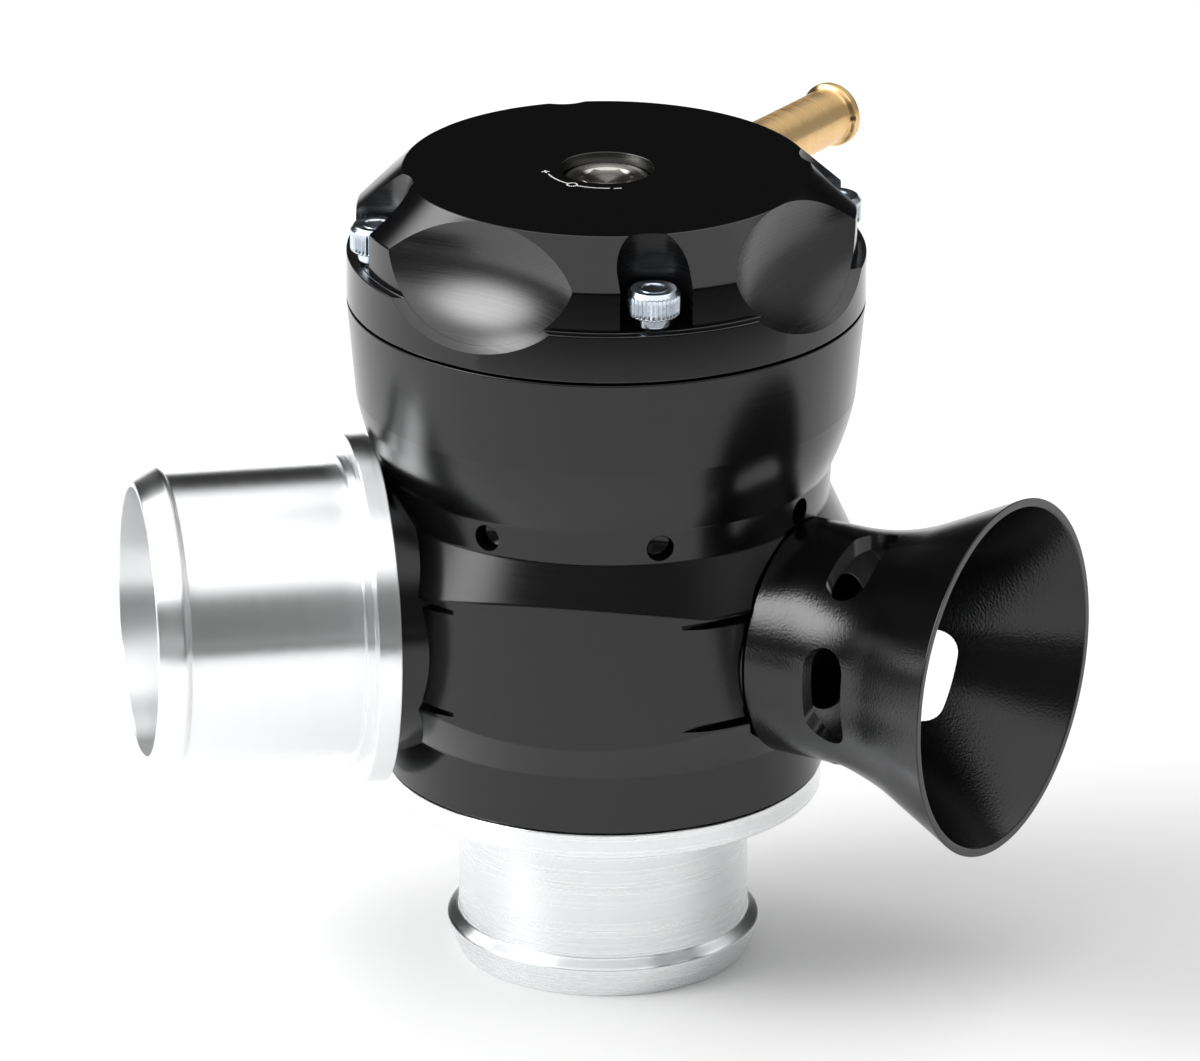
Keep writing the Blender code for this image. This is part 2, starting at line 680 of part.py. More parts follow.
def snap_groove_in_socket(socket_radius, middle):
    """Outline points of the socket's half of a snap ring groove, from its high edge down."""
    half = SNAP_WIRE_RADIUS + SEAL_GROOVE_MARGIN
    floor = socket_radius + half - FACE_GAP / 2
    return [(socket_radius, middle + half), (floor, middle + half),
            (floor, middle - half), (socket_radius, middle - half)]


def snap_ring(name, plug_radius, middle, frame=None):
    """A round wire sprung into the groove, open at one side."""
    angle = 360.0 - SNAP_RING_GAP_ANGLE
    outline = section(plug_radius + FACE_GAP / 2, middle, SNAP_WIRE_RADIUS)
    ring = turned_part_way(name, outline, angle, SEAL_STEPS, frame)
    finish(ring, *SPRING_STEEL)


def seal(name, plug_radius, middle, frame=None):
    """A rubber ring of round section in its groove."""
    outline = section(seal_circle(plug_radius), middle, SEAL_RADIUS)
    finish(turned(name, outline, SEAL_STEPS, frame), *NITRILE_RUBBER)


def plug_outside(radius, snap_middle, seal_middle):
    """The outside of a plug with its two grooves, the seal's groove nearer the start.

    Heights fall from the seal's groove to the snap ring's groove or rise, as given.
    """
    snap_half = SNAP_WIRE_RADIUS + SEAL_GROOVE_MARGIN
    snap_floor = radius - snap_half + FACE_GAP / 2
    seal_low, seal_high = seal_groove(seal_middle)
    points = groove_in_outside(radius, snap_middle - snap_half, snap_middle + snap_half, snap_floor)
    points += groove_in_outside(radius, seal_low, seal_high, seal_floor(radius))
    return sorted_down(points)


def sorted_down(points):
    """Puts two grooves' points in order of falling height, keeping each groove's own order."""
    grooves = [points[:4], points[4:]]
    grooves.sort(key=lambda groove: -groove[0][1])
    return grooves[0] + grooves[1]


# Inlet adaptor


def make_inlet_adaptor():
    """The hose pipe with a rounded bead, its flange under the body and its plug in the body."""
    bead_steps = 6
    outline = [(inlet_bore_radius, inlet_plug_top), (inlet_plug_radius, inlet_plug_top)]
    outline += plug_outside(inlet_plug_radius, inlet_snap_height, inlet_seal_height)
    flange_radius = foot_radius - INLET_FLANGE_SET_IN
    outline += [
        (inlet_plug_radius, flange_top),
        (flange_radius, flange_top),
        (flange_radius, INLET_PIPE_LENGTH),
        (INLET_PIPE_RADIUS, INLET_PIPE_LENGTH),
    ]
    for step in range(bead_steps + 1):
        share = step / bead_steps
        rise = INLET_BEAD_RISE * math.sin(math.pi * share)
        height = INLET_BEAD_HEIGHT + INLET_BEAD_LENGTH * (0.5 - share)
        outline.append((INLET_PIPE_RADIUS + rise, height))
    outline += [(INLET_PIPE_RADIUS, 0.0), (inlet_bore_radius, 0.0)]
    adaptor = turned("inlet_adaptor", outline, LARGE_STEPS)
    finish(adaptor, *BARE_ALUMINIUM)
    seal("inlet_o_ring", inlet_plug_radius, inlet_seal_height)
    snap_ring("inlet_snap_ring", inlet_plug_radius, inlet_snap_height)


# Outlet adaptor


def make_outlet_adaptor():
    """The hose pipe on the side, with its flange against the body's outlet boss."""
    frame = radial_frame(OUTLET_AZIMUTH, port_height)
    flange_back = outlet_face + FACE_GAP
    flange_front = flange_back + OUTLET_FLANGE_THICKNESS
    collar_front = flange_front + OUTLET_COLLAR_LENGTH
    mouth = collar_front + OUTLET_PIPE_LENGTH
    bead = mouth - OUTLET_BEAD_FROM_END
    plug_end = flange_back - OUTLET_PLUG_LENGTH
    bore_radius = OUTLET_PIPE_RADIUS - OUTLET_PIPE_WALL
    plug_bore_radius = outlet_plug_radius - OUTLET_PLUG_WALL
    flange_radius = OUTLET_PIPE_RADIUS + OUTLET_FLANGE_WIDTH
    collar_radius = OUTLET_PIPE_RADIUS + OUTLET_COLLAR_WIDTH
    outline = [
        (bore_radius, mouth),
        (bore_radius + OUTLET_MOUTH_LIP, mouth),
        (OUTLET_PIPE_RADIUS + OUTLET_BEAD_RISE, bead),
        (OUTLET_PIPE_RADIUS + OUTLET_BEAD_RISE / 2, bead - OUTLET_BEAD_LENGTH),
        (OUTLET_PIPE_RADIUS, bead - OUTLET_BEAD_LENGTH),
        (OUTLET_PIPE_RADIUS, collar_front),
        (collar_radius, collar_front),
        (collar_radius, flange_front),
        (flange_radius, flange_front),
        (flange_radius, flange_back),
        (outlet_plug_radius, flange_back),
    ]
    outline += plug_outside(outlet_plug_radius, outlet_snap_distance, outlet_seal_distance)
    outline += [
        (outlet_plug_radius, plug_end),
        (plug_bore_radius, plug_end),
        (plug_bore_radius, flange_front),
        (bore_radius, flange_front + (bore_radius - plug_bore_radius)),
    ]
    adaptor = turned("outlet_adaptor", outline, PIPE_STEPS, frame)
    finish(adaptor, *BARE_ALUMINIUM)
    seal("outlet_o_ring", outlet_plug_radius, outlet_seal_distance, frame)
    snap_ring("outlet_snap_ring", outlet_plug_radius, outlet_snap_distance, frame)


# Trumpet


def trumpet_outside(base):
    """The flared outside: a straight neck, an arc and a straight cone up to the rim."""
    arc_steps = 8
    flare_start = base + TRUMPET_NECK_LENGTH
    rim = base + TRUMPET_LENGTH
    points = [(TRUMPET_NECK_RADIUS, base)]
    for step in range(arc_steps + 1):
        turn = math.radians(TRUMPET_FLARE_ANGLE) * step / arc_steps
        radius = TRUMPET_NECK_RADIUS + TRUMPET_FLARE_RADIUS * (1 - math.cos(turn))
        points.append((radius, flare_start + TRUMPET_FLARE_RADIUS * math.sin(turn)))
    last_radius, last_distance = points[-1]
    slope = math.tan(math.radians(TRUMPET_FLARE_ANGLE))
    points.append((last_radius + (rim - last_distance) * slope, rim))
    return points


def trumpet_window_cutter(name, angle, base, frame):
    """One round-ended window through the neck, swept part of the way round it."""
    inner = trumpet_bore_radius
    outer = TRUMPET_NECK_RADIUS + TRUMPET_FLARE_RADIUS / 4
    middle = base + TRUMPET_WINDOW_DISTANCE
    half = TRUMPET_WINDOW_WIDTH / 2
    end_turn = math.degrees(half / TRUMPET_NECK_RADIUS)
    straight_span = TRUMPET_WINDOW_SPAN - 2 * end_turn
    end_steps = 6
    span_steps = 8
    form = bmesh.new()
    edge = []
    for step in range(end_steps + 1):
        turn = math.pi * step / end_steps
        edge.append((straight_span / 2 + end_turn * math.sin(turn), half * math.cos(turn)))
    for step in range(1, span_steps):
        edge.append((straight_span * (0.5 - step / span_steps), -half))
    for step in range(end_steps + 1):
        turn = math.pi * (1 + step / end_steps)
        edge.append((-straight_span / 2 + end_turn * math.sin(turn), half * math.cos(turn)))
    for step in range(1, span_steps):
        edge.append((straight_span * (step / span_steps - 0.5), half))
    rings = []
    for radius in (inner, outer):
        ring = []
        for around, along in edge:
            turn = math.radians(angle + around)
            ring.append(form.verts.new((radius * math.cos(turn), radius * math.sin(turn), middle + along)))
        rings.append(ring)
    form.faces.new(rings[0])
    form.faces.new(rings[1])
    count = len(edge)
    for index in range(count):
        following = (index + 1) % count
        form.faces.new([rings[0][index], rings[0][following], rings[1][following], rings[1][index]])
    bmesh.ops.triangulate(form, faces=form.faces)
    return add_object(name, form, frame)


def make_trumpet():
    """The trumpet, screwed into the body, with four windows round its neck."""
    frame = radial_frame(TRUMPET_AZIMUTH, port_height)
    base = trumpet_face + FACE_GAP
    rim = base + TRUMPET_LENGTH
    outside = trumpet_outside(base)
    throat = rim - TRUMPET_THROAT_DEPTH
    throat_radius = TRUMPET_NECK_RADIUS - TRUMPET_THROAT_WALL
    floor = base + TRUMPET_FLOOR_THICKNESS
    spigot_end = base - TRUMPET_SPIGOT_LENGTH
    rim_radius = outside[-1][0]
    outline = [(rim_radius - TRUMPET_LIP, rim), (rim_radius, rim)]
    outline += outside[-2::-1]
    outline.append((TRUMPET_SPIGOT_RADIUS, base))
    seal_low, seal_high = seal_groove(trumpet_seal_distance)
    outline += groove_in_outside(TRUMPET_SPIGOT_RADIUS, seal_low, seal_high,
                                 seal_floor(TRUMPET_SPIGOT_RADIUS))
    outline += [
        (TRUMPET_SPIGOT_RADIUS, spigot_end),
        (trumpet_bore_radius, spigot_end),
        (trumpet_bore_radius, floor),
        (throat_radius, floor + SEAL_LAND),
        (throat_radius, throat),
    ]
    trumpet = turned("trumpet", outline, PIPE_STEPS, frame)
    for index in range(TRUMPET_WINDOWS):
        angle = trumpet_window_start + 360.0 * index / TRUMPET_WINDOWS
        cutter = trumpet_window_cutter("window_cutter_{}".format(index + 1), angle, base, frame)
        combine(trumpet, cutter, "DIFFERENCE")
    finish(trumpet, *BLACK_ANODISED)
    seal("trumpet_o_ring", TRUMPET_SPIGOT_RADIUS, trumpet_seal_distance, frame)


# Head cap


def scallop_cutter(name, azimuth):
    """A stretched ball that leaves a dish in the edge of the cap."""
    form = bmesh.new()
    bmesh.ops.create_uvsphere(form, u_segments=28, v_segments=16, radius=1.0)
    bmesh.ops.scale(form, verts=form.verts,
                    vec=(SCALLOP_DEPTH_REACH, SCALLOP_WIDTH_REACH, SCALLOP_SLOPE_REACH))
    tilt = Matrix.Rotation(math.radians(-SCALLOP_TILT), 4, "Y")
    middle = upright_frame(azimuth, head_radius - SCALLOP_MIDDLE_SET_IN, cap_ledge + SCALLOP_MIDDLE_RISE)
    outward = Matrix.Translation((SCALLOP_CENTRE_OUT, 0.0, 0.0))
    return add_object(name, form, middle @ tilt @ outward)


def screw_pocket_cutter(name, azimuth):
    """A round-backed pocket for a cap screw, open at the cap's side."""
    steps = 12
    outline = []
    for step in range(steps + 1):
        turn = math.pi * (0.5 + step / steps)
        outline.append((CAP_POCKET_RADIUS * math.cos(turn), CAP_POCKET_RADIUS * math.sin(turn)))
    outward = CAP_SCREW_SET_IN + CUTTER_OVERSHOOT
    outline += [(outward, -CAP_POCKET_RADIUS), (outward, CAP_POCKET_RADIUS)]
    top = cap_top + CUTTER_OVERSHOOT
    return upright_prism(name, outline, cap_pocket_floor, top, upright_frame(azimuth, cap_screw_circle))


def make_head_cap():
    """The cap: a ledged rim, a dished cone, screw pockets, and a plug with a chamber inside."""
    neck_hole = PRELOAD_NECK_RADIUS + RUNNING_GAP
    counterbore = PRELOAD_HEAD_RADIUS + PRELOAD_HEAD_CLEARANCE
    seal_low, seal_high = seal_groove(cap_seal_height)
    outline = [
        (counterbore, cap_top),
        (cap_disc_radius, cap_top),
        (cap_wall_radius, cap_wall_top),
        (cap_wall_radius, cap_ledge),
        (head_radius, cap_ledge),
        (head_radius, cap_bottom),
        (cap_plug_radius, cap_bottom),
    ]
    outline += groove_in_outside(cap_plug_radius, seal_low, seal_high, seal_floor(cap_plug_radius))
    outline += [
        (cap_plug_radius, cap_plug_bottom),
        (cap_chamber_radius, cap_plug_bottom),
        (cap_chamber_radius, cap_chamber_top),
        (CAP_HUB_RADIUS, cap_chamber_top),
        (CAP_HUB_RADIUS, cap_hub_bottom),
        (neck_hole, cap_hub_bottom),
        (neck_hole, preload_counterbore_floor),
        (counterbore, preload_counterbore_floor),
    ]
    cap = turned("head_cap", outline, LARGE_STEPS)
    for index in range(SCALLOPS):
        azimuth = SCALLOP_AZIMUTH + 360.0 * index / SCALLOPS
        combine(cap, scallop_cutter("scallop_cutter_{}".format(index + 1), azimuth), "DIFFERENCE")

    hole_radius = CAP_SCREW_SHANK_RADIUS + SCREW_HOLE_GAP
    top = cap_pocket_floor + CUTTER_OVERSHOOT
    bottom = cap_bottom - CUTTER_OVERSHOOT
    hole = [(0.0, top), (hole_radius, top), (hole_radius, bottom), (0.0, bottom)]
    for index in range(CAP_SCREWS):
        azimuth = CAP_SCREW_AZIMUTH + 360.0 * index / CAP_SCREWS
        number = index + 1
        combine(cap, screw_pocket_cutter("pocket_cutter_{}".format(number), azimuth), "DIFFERENCE")
        cutter = turned("screw_hole_cutter_{}".format(number), hole, 12,
                        upright_frame(azimuth, cap_screw_circle))
        combine(cap, cutter, "DIFFERENCE")

    key_reach = cap_chamber_radius + KEYWAY_DEPTH
    low = (PRELOAD_HEAD_RADIUS + CAP_HUB_RADIUS, -KEYWAY_WIDTH / 2, cap_plug_bottom - CUTTER_OVERSHOOT)
    high = (key_reach, KEYWAY_WIDTH / 2, seat_top + FACE_GAP)
    for number, azimuth in enumerate(key_azimuths, start=1):
        cutter = block("keyway_cutter_{}".format(number), low, high, upright_frame(azimuth))
        combine(cap, cutter, "DIFFERENCE")

    socket_radius = NIPPLE_RADIUS + FACE_GAP
    passage_end = cap_chamber_radius - CUTTER_OVERSHOOT
    socket = [
        (0.0, head_radius + CUTTER_OVERSHOOT),
        (socket_radius, head_radius + CUTTER_OVERSHOOT),
        (socket_radius, NIPPLE_SOCKET_BOTTOM),
        (NIPPLE_BORE_RADIUS, NIPPLE_SOCKET_BOTTOM),
        (NIPPLE_BORE_RADIUS, passage_end),
        (0.0, passage_end),
    ]
    cutter = turned("nipple_socket_cutter", socket, SMALL_STEPS, radial_frame(NIPPLE_AZIMUTH, nipple_height))
    combine(cap, cutter, "DIFFERENCE")
    finish(cap, *BLACK_ANODISED)
    seal("cap_seal", cap_plug_radius, cap_seal_height)


# Cap screws


def make_cap_screw(number, azimuth):
    """A socket head screw through the cap into the body."""
    edge = CAP_SCREW_HEAD_RADIUS / 12
    outline = [
        (0.0, cap_screw_head_top),
        (CAP_SCREW_HEAD_RADIUS - edge, cap_screw_head_top),
        (CAP_SCREW_HEAD_RADIUS, cap_screw_head_top - edge),
        (CAP_SCREW_HEAD_RADIUS, cap_screw_head_bottom),
        (CAP_SCREW_COLLAR_RADIUS, cap_screw_head_bottom),
        (CAP_SCREW_COLLAR_RADIUS, cap_screw_seat),
        (CAP_SCREW_SHANK_RADIUS, cap_screw_seat),
        (CAP_SCREW_SHANK_RADIUS, cap_screw_tip),
        (0.0, cap_screw_tip),
    ]
    frame = upright_frame(azimuth, cap_screw_circle)
    screw = turned("cap_screw_{}".format(number), outline, SMALL_STEPS, frame)
    socket = hexagon_hole("cap_screw_hex_cutter_{}".format(number), CAP_SCREW_HEX_WIDTH,
                          cap_screw_head_top - CAP_SCREW_HEX_DEPTH,
                          cap_screw_head_top + CUTTER_OVERSHOOT, frame)
    combine(screw, socket, "DIFFERENCE")
    finish(screw, *ZINC_PLATED_STEEL)


# Preload screw, clip and spring seat


def make_preload_screw():
    """The screw in the middle of the cap, which moves the spring seat when it is turned."""
    edge = PRELOAD_HEAD_RADIUS / 12
    seal_low, seal_high = seal_groove(preload_seal_height)
    groove_floor = PRELOAD_NECK_RADIUS - CLIP_GROOVE_DEPTH
    outline = [
        (0.0, preload_head_top),
        (PRELOAD_HEAD_RADIUS - edge, preload_head_top),
        (PRELOAD_HEAD_RADIUS, preload_head_top - edge),
        (PRELOAD_HEAD_RADIUS, preload_head_bottom),
        (PRELOAD_NECK_RADIUS, preload_head_bottom),
    ]
    outline += groove_in_outside(PRELOAD_NECK_RADIUS, seal_low, seal_high, seal_floor(PRELOAD_NECK_RADIUS))
    outline += groove_in_outside(PRELOAD_NECK_RADIUS, clip_bottom - FACE_GAP, clip_top + FACE_GAP,
                                 groove_floor)
    outline += [
        (PRELOAD_NECK_RADIUS, preload_neck_bottom),
        (PRELOAD_THREAD_RADIUS, preload_neck_bottom),
        (PRELOAD_THREAD_RADIUS, preload_tip),
        (0.0, preload_tip),
    ]
    screw = turned("preload_screw", outline, SMALL_STEPS)
    socket = hexagon_hole("preload_hex_cutter", PRELOAD_HEX_WIDTH, preload_head_top - PRELOAD_HEX_DEPTH,
                          preload_head_top + CUTTER_OVERSHOOT)
    combine(screw, socket, "DIFFERENCE")
    finish(screw, *STAINLESS_STEEL)
    seal("preload_screw_o_ring", PRELOAD_NECK_RADIUS, preload_seal_height)

    inner = groove_floor + FACE_GAP
    outer = inner + CLIP_WIDTH
    outline = [(inner, clip_top), (outer, clip_top), (outer, clip_bottom), (inner, clip_bottom)]
    clip = turned_part_way("preload_clip", outline, 360.0 - CLIP_GAP_ANGLE, SMALL_STEPS)
    finish(clip, *SPRING_STEEL)


def make_spring_seat():
    """The upper spring seat: a threaded hub with two keys that slide in the cap."""
    bore = PRELOAD_THREAD_RADIUS + RUNNING_GAP
    outline = [
        (bore, seat_top),
        (seat_flange_radius, seat_top),
        (seat_flange_radius, seat_bottom),
        (SEAT_HUB_RADIUS, seat_bottom),
        (SEAT_HUB_RADIUS, seat_hub_bottom),
        (bore, seat_hub_bottom),
    ]
    seat = turned("spring_seat", outline, 40)
    key_reach = cap_chamber_radius + KEYWAY_DEPTH - FACE_GAP
    half_width = KEYWAY_WIDTH / 2 - FACE_GAP
    root = seat_flange_radius - SEAT_FLANGE_SIDE_GAP
    inset = FACE_GAP / 2
    low = (root, -half_width, seat_bottom + inset)
    high = (key_reach, half_width, seat_top - inset)
    for number, azimuth in enumerate(key_azimuths, start=1):
        combine(seat, block("seat_key_{}".format(number), low, high, upright_frame(azimuth)), "UNION")
    finish(seat, *BARE_ALUMINIUM)


# Piston and spring


def make_piston():
    """A cup that slides in the body: its skirt covers the ports, its land seals the chamber."""
    seal_low, seal_high = seal_groove(piston_seal_height)
    band_floor = piston_land_radius - WEAR_RING_THICKNESS - FACE_GAP
    outline = [
        (piston_cup_radius, piston_top),
        (piston_land_radius, piston_top),
    ]
    outline += groove_in_outside(piston_land_radius, wear_ring_bottom - FACE_GAP,
                                 wear_ring_bottom + WEAR_RING_HEIGHT + FACE_GAP, band_floor)
    outline += groove_in_outside(piston_land_radius, seal_low, seal_high, seal_floor(piston_land_radius))
    outline += [
        (piston_land_radius, piston_land_bottom),
        (piston_radius, piston_land_bottom),
        (piston_radius, piston_bottom),
        (inlet_bore_radius - PISTON_WALL, piston_bottom),
        (0.0, piston_bottom + PISTON_DISH_DEPTH),
        (0.0, piston_floor),
        (piston_cup_radius, piston_floor),
    ]
    finish(turned("piston", outline, LARGE_STEPS), *BARE_ALUMINIUM)
    seal("piston_o_ring", piston_land_radius, piston_seal_height)
    band_inner = piston_land_radius - WEAR_RING_THICKNESS
    band_top = wear_ring_bottom + WEAR_RING_HEIGHT
    outline = [
        (band_inner, band_top),
        (piston_land_radius, band_top),
        (piston_land_radius, wear_ring_bottom),
        (band_inner, wear_ring_bottom),
    ]
    finish(turned("piston_wear_ring", outline, PIPE_STEPS), *WEAR_BAND)


def make_main_spring():
    """The coil spring between the piston's floor and the spring seat, with closed end turns."""
    coil_radius = piston_cup_radius - SPRING_SIDE_GAP - SPRING_WIRE_RADIUS
    bottom = piston_floor + FACE_GAP + SPRING_WIRE_RADIUS
    top = seat_bottom - FACE_GAP - SPRING_WIRE_RADIUS
    closed_pitch = 2 * SPRING_WIRE_RADIUS + FACE_GAP
    closed_rise = closed_pitch * SPRING_END_TURNS
    open_turns = SPRING_TURNS - 2 * SPRING_END_TURNS
    open_pitch = (top - bottom - 2 * closed_rise) / open_turns
    count = round(SPRING_TURNS * SPRING_POINTS_PER_TURN)
    points = []
    for step in range(count + 1):
        turns = SPRING_TURNS * step / count
        lower = min(turns, SPRING_END_TURNS)
        upper = max(turns - SPRING_TURNS + SPRING_END_TURNS, 0.0)
        middle = turns - lower - upper
        height = bottom + closed_pitch * (lower + upper) + open_pitch * middle
        angle = math.tau * turns
        points.append(Vector((coil_radius * math.cos(angle), coil_radius * math.sin(angle), height)))
    spring = wire("main_spring", points, SPRING_WIRE_RADIUS)
    finish(spring, *SPRING_STEEL)


# Vacuum nipple


def make_vacuum_nipple():
    """The brass hose nipple in one of the cap's dishes."""
    root = NIPPLE_SOCKET_BOTTOM + FACE_GAP
    edge = NIPPLE_RADIUS / 8
    barb_start = NIPPLE_TIP - NIPPLE_BARB_LENGTH
    barb_radius = NIPPLE_RADIUS + NIPPLE_BARB_RISE
    outline = [
        (NIPPLE_BORE_RADIUS, NIPPLE_TIP),
        (NIPPLE_RADIUS, NIPPLE_TIP),
        (barb_radius, NIPPLE_TIP - edge),
        (barb_radius, barb_start + edge),
        (NIPPLE_RADIUS, barb_start),
        (NIPPLE_RADIUS, root + edge),
        (NIPPLE_RADIUS - edge, root),
        (NIPPLE_BORE_RADIUS, root),
    ]
    frame = radial_frame(NIPPLE_AZIMUTH, nipple_height)
    finish(turned("vacuum_nipple", outline, SMALL_STEPS, frame), *BRASS)


# Assembly


def main():
    for piece in list(bpy.data.objects):
        bpy.data.objects.remove(piece, do_unlink=True)
    make_valve_body()
    make_inlet_adaptor()
    make_outlet_adaptor()
    make_trumpet()
    make_head_cap()
    for index in range(CAP_SCREWS):
        make_cap_screw(index + 1, CAP_SCREW_AZIMUTH + 360.0 * index / CAP_SCREWS)
    make_preload_screw()
    make_spring_seat()
    make_piston()
    make_main_spring()
    make_vacuum_nipple()


main()
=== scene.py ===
"""Blow off valve: fine turned surfaces, finishes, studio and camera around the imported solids.

Shapes are worked out in millimetres and put into meshes in metres. Z points up along the
valve's axis, azimuths are counted from +X towards +Y, and a port's distances d run outwards
along its own axis.
"""

import math

import bmesh
import bpy
import numpy as np
from mathutils import Euler, Matrix, Vector


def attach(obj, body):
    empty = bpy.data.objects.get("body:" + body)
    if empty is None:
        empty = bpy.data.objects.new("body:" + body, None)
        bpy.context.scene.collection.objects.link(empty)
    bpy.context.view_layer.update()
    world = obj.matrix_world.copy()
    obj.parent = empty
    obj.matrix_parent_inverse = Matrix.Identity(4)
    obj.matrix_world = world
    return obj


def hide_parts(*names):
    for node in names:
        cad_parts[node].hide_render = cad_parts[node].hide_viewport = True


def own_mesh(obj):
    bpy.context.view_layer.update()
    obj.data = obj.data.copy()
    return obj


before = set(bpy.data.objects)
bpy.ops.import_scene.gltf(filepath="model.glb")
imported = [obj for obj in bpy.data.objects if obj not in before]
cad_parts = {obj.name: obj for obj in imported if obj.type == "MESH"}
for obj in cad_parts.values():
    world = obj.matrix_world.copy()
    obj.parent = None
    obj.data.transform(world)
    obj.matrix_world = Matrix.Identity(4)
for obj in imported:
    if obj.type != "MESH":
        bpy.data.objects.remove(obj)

bl_info = {
    "name": "Blow off valve",
    "version": (1, 0, 0),
    "blender": (4, 5, 0),
    "location": "3D View > Sidebar > Valve",
    "description": "Builds the visible surfaces and finishes of a blow off valve",
    "category": "Object",
}

MM = 0.001

# Where the pieces sit, in millimetres and degrees, as in the solids
PORT_HEIGHT = 42.55
OUTLET_AZIMUTH = 190.7
TRUMPET_AZIMUTH = 330.2
NIPPLE_AZIMUTH = 56.0
NIPPLE_HEIGHT = 86.4
CAP_SCREW_AZIMUTH = 11.5
CAP_SCREW_CIRCLE = 26.0
SCALLOP_AZIMUTH = 56.5
SPANNER_AZIMUTH = 14.0
KEYWAY_AZIMUTH = 146.5
BELLY_FACE_AZIMUTH = 260.45

# Radii and heights that several surfaces share, in millimetres
FOOT_RADIUS, FOOT_TOP = 24.8, 29.9
BELLY_RADIUS, BELLY_LOW, BELLY_HIGH = 28.0, 35.7, 49.4
WAIST_RADIUS, WAIST_LOW = 25.2, 55.5
BODY_TOP = 78.1
MAIN_BORE, UPPER_BORE = 17.0, 19.0
RIM_RADIUS = 29.0
WALL_RADIUS, WALL_TOP = 27.9, 88.5
CAP_TOP_RADIUS, CAP_TOP = 22.7, 93.2
PIPE_RADIUS = 16.4
NECK_RADIUS = 13.25
SPRING_FOOT, SPRING_TOP = 33.8, 79.0
PISTON_TRAVEL, SEAT_TRAVEL = 10.0, 4.0


# Sizes and colours that a user would change


def linear(hex_colour):
    """Turns an sRGB colour such as "#c8c8ca" into linear red, green, blue and alpha."""
    values = [int(hex_colour[place:place + 2], 16) / 255 for place in (1, 3, 5)]
    return [v / 12.92 if v <= 0.04045 else ((v + 0.055) / 1.055) ** 2.4 for v in values] + [1.0]


def colour_property(name, description, hex_colour):
    return bpy.props.FloatVectorProperty(
        name=name, description=description, default=linear(hex_colour),
        subtype="COLOR", size=4, min=0.0, max=1.0,
    )


class ValveSizes(bpy.types.PropertyGroup):
    """How finely the surfaces are cut and how far their edges are broken."""
    steps: bpy.props.IntProperty(
        name="Steps", description="Faces round each large turned piece", default=240, min=60, max=480)
    edge_break: bpy.props.FloatProperty(
        name="Edge break", description="Reach of the rounding on each turned edge",
        default=0.00018, min=0.00002, max=0.0006, unit="LENGTH", precision=5)
    knurl_teeth: bpy.props.IntProperty(
        name="Knurl teeth", description="Teeth round the head of each cap screw", default=36, min=12, max=60)
    knurl_depth: bpy.props.FloatProperty(
        name="Knurl depth", description="Depth of the grooves between the teeth",
        default=0.00016, min=0.0, max=0.0004, unit="LENGTH", precision=5)


class ValveColours(bpy.types.PropertyGroup):
    """The colour under each finish."""
    black: colour_property("Black", "Dyed anodised aluminium", "#060607")
    aluminium: colour_property("Aluminium", "Bare turned aluminium", "#f4f5f6")
    zinc: colour_property("Zinc", "Bright zinc plate on the cap screws", "#d3dce6")
    stainless: colour_property("Stainless", "The preload screw", "#cccac5")
    brass: colour_property("Brass", "The vacuum nipple", "#efc990")
    steel: colour_property("Spring steel", "Springs, clips and snap rings", "#6d6c6c")
    rubber: colour_property("Rubber", "The seals", "#141414")
    band: colour_property("Wear band", "Filled plastic round the piston", "#8a6f46")
    print: colour_property("Print", "The adjusting mark on the cap", "#d2d2ce")


class ValveStage(bpy.types.PropertyGroup):
    """Lamps, as the brightness that a mirror would show, and the camera."""
    key_level: bpy.props.FloatProperty(
        name="Key", description="Brightness of the large lamp on the left", default=8.5, min=0.0)
    back_level: bpy.props.FloatProperty(
        name="Back", description="Brightness of the lamp behind on the left", default=5.0, min=0.0)
    ceiling_level: bpy.props.FloatProperty(
        name="Ceiling", description="Brightness of the white ceiling", default=1.2, min=0.0)
    room_level: bpy.props.FloatProperty(
        name="Room", description="Brightness of the room in front", default=0.15, min=0.0)
    side_level: bpy.props.FloatProperty(
        name="Side", description="Added brightness of the wall on the right", default=0.35, min=0.0)
    camera_distance: bpy.props.FloatProperty(
        name="Camera distance", description="From the middle of the valve", default=1.31157,
        min=0.3, unit="LENGTH")
    camera_elevation: bpy.props.FloatProperty(
        name="Camera elevation", description="Angle above the floor",
        default=math.radians(21.232), min=0.0, max=1.5, subtype="ANGLE")


def sizes():
    return bpy.context.scene.valve_sizes


def colours():
    return bpy.context.scene.valve_colours


def edge_break():
    return sizes().edge_break / MM


# Frames, as 4 x 4 arrays in millimetres


def upright_frame(azimuth, radius=0.0, height=0.0):
    """Z stays up and X points outwards at the azimuth, with the origin at a radius and a height."""
    turn = Matrix.Rotation(math.radians(azimuth), 4, "Z")
    return np.array(turn @ Matrix.Translation((radius, 0.0, height)))


def radial_frame(azimuth, height):
    """Z points outwards at the azimuth, X points up, and the origin is on the valve's axis."""
    outward = Vector((math.cos(math.radians(azimuth)), math.sin(math.radians(azimuth)), 0.0))
    upward = Vector((0.0, 0.0, 1.0))
    placed = Matrix((upward, outward.cross(upward), outward)).transposed().to_4x4()
    placed.translation = (0.0, 0.0, height)
    return np.array(placed)


# Shapes: each is an array of points and an array of four-cornered faces


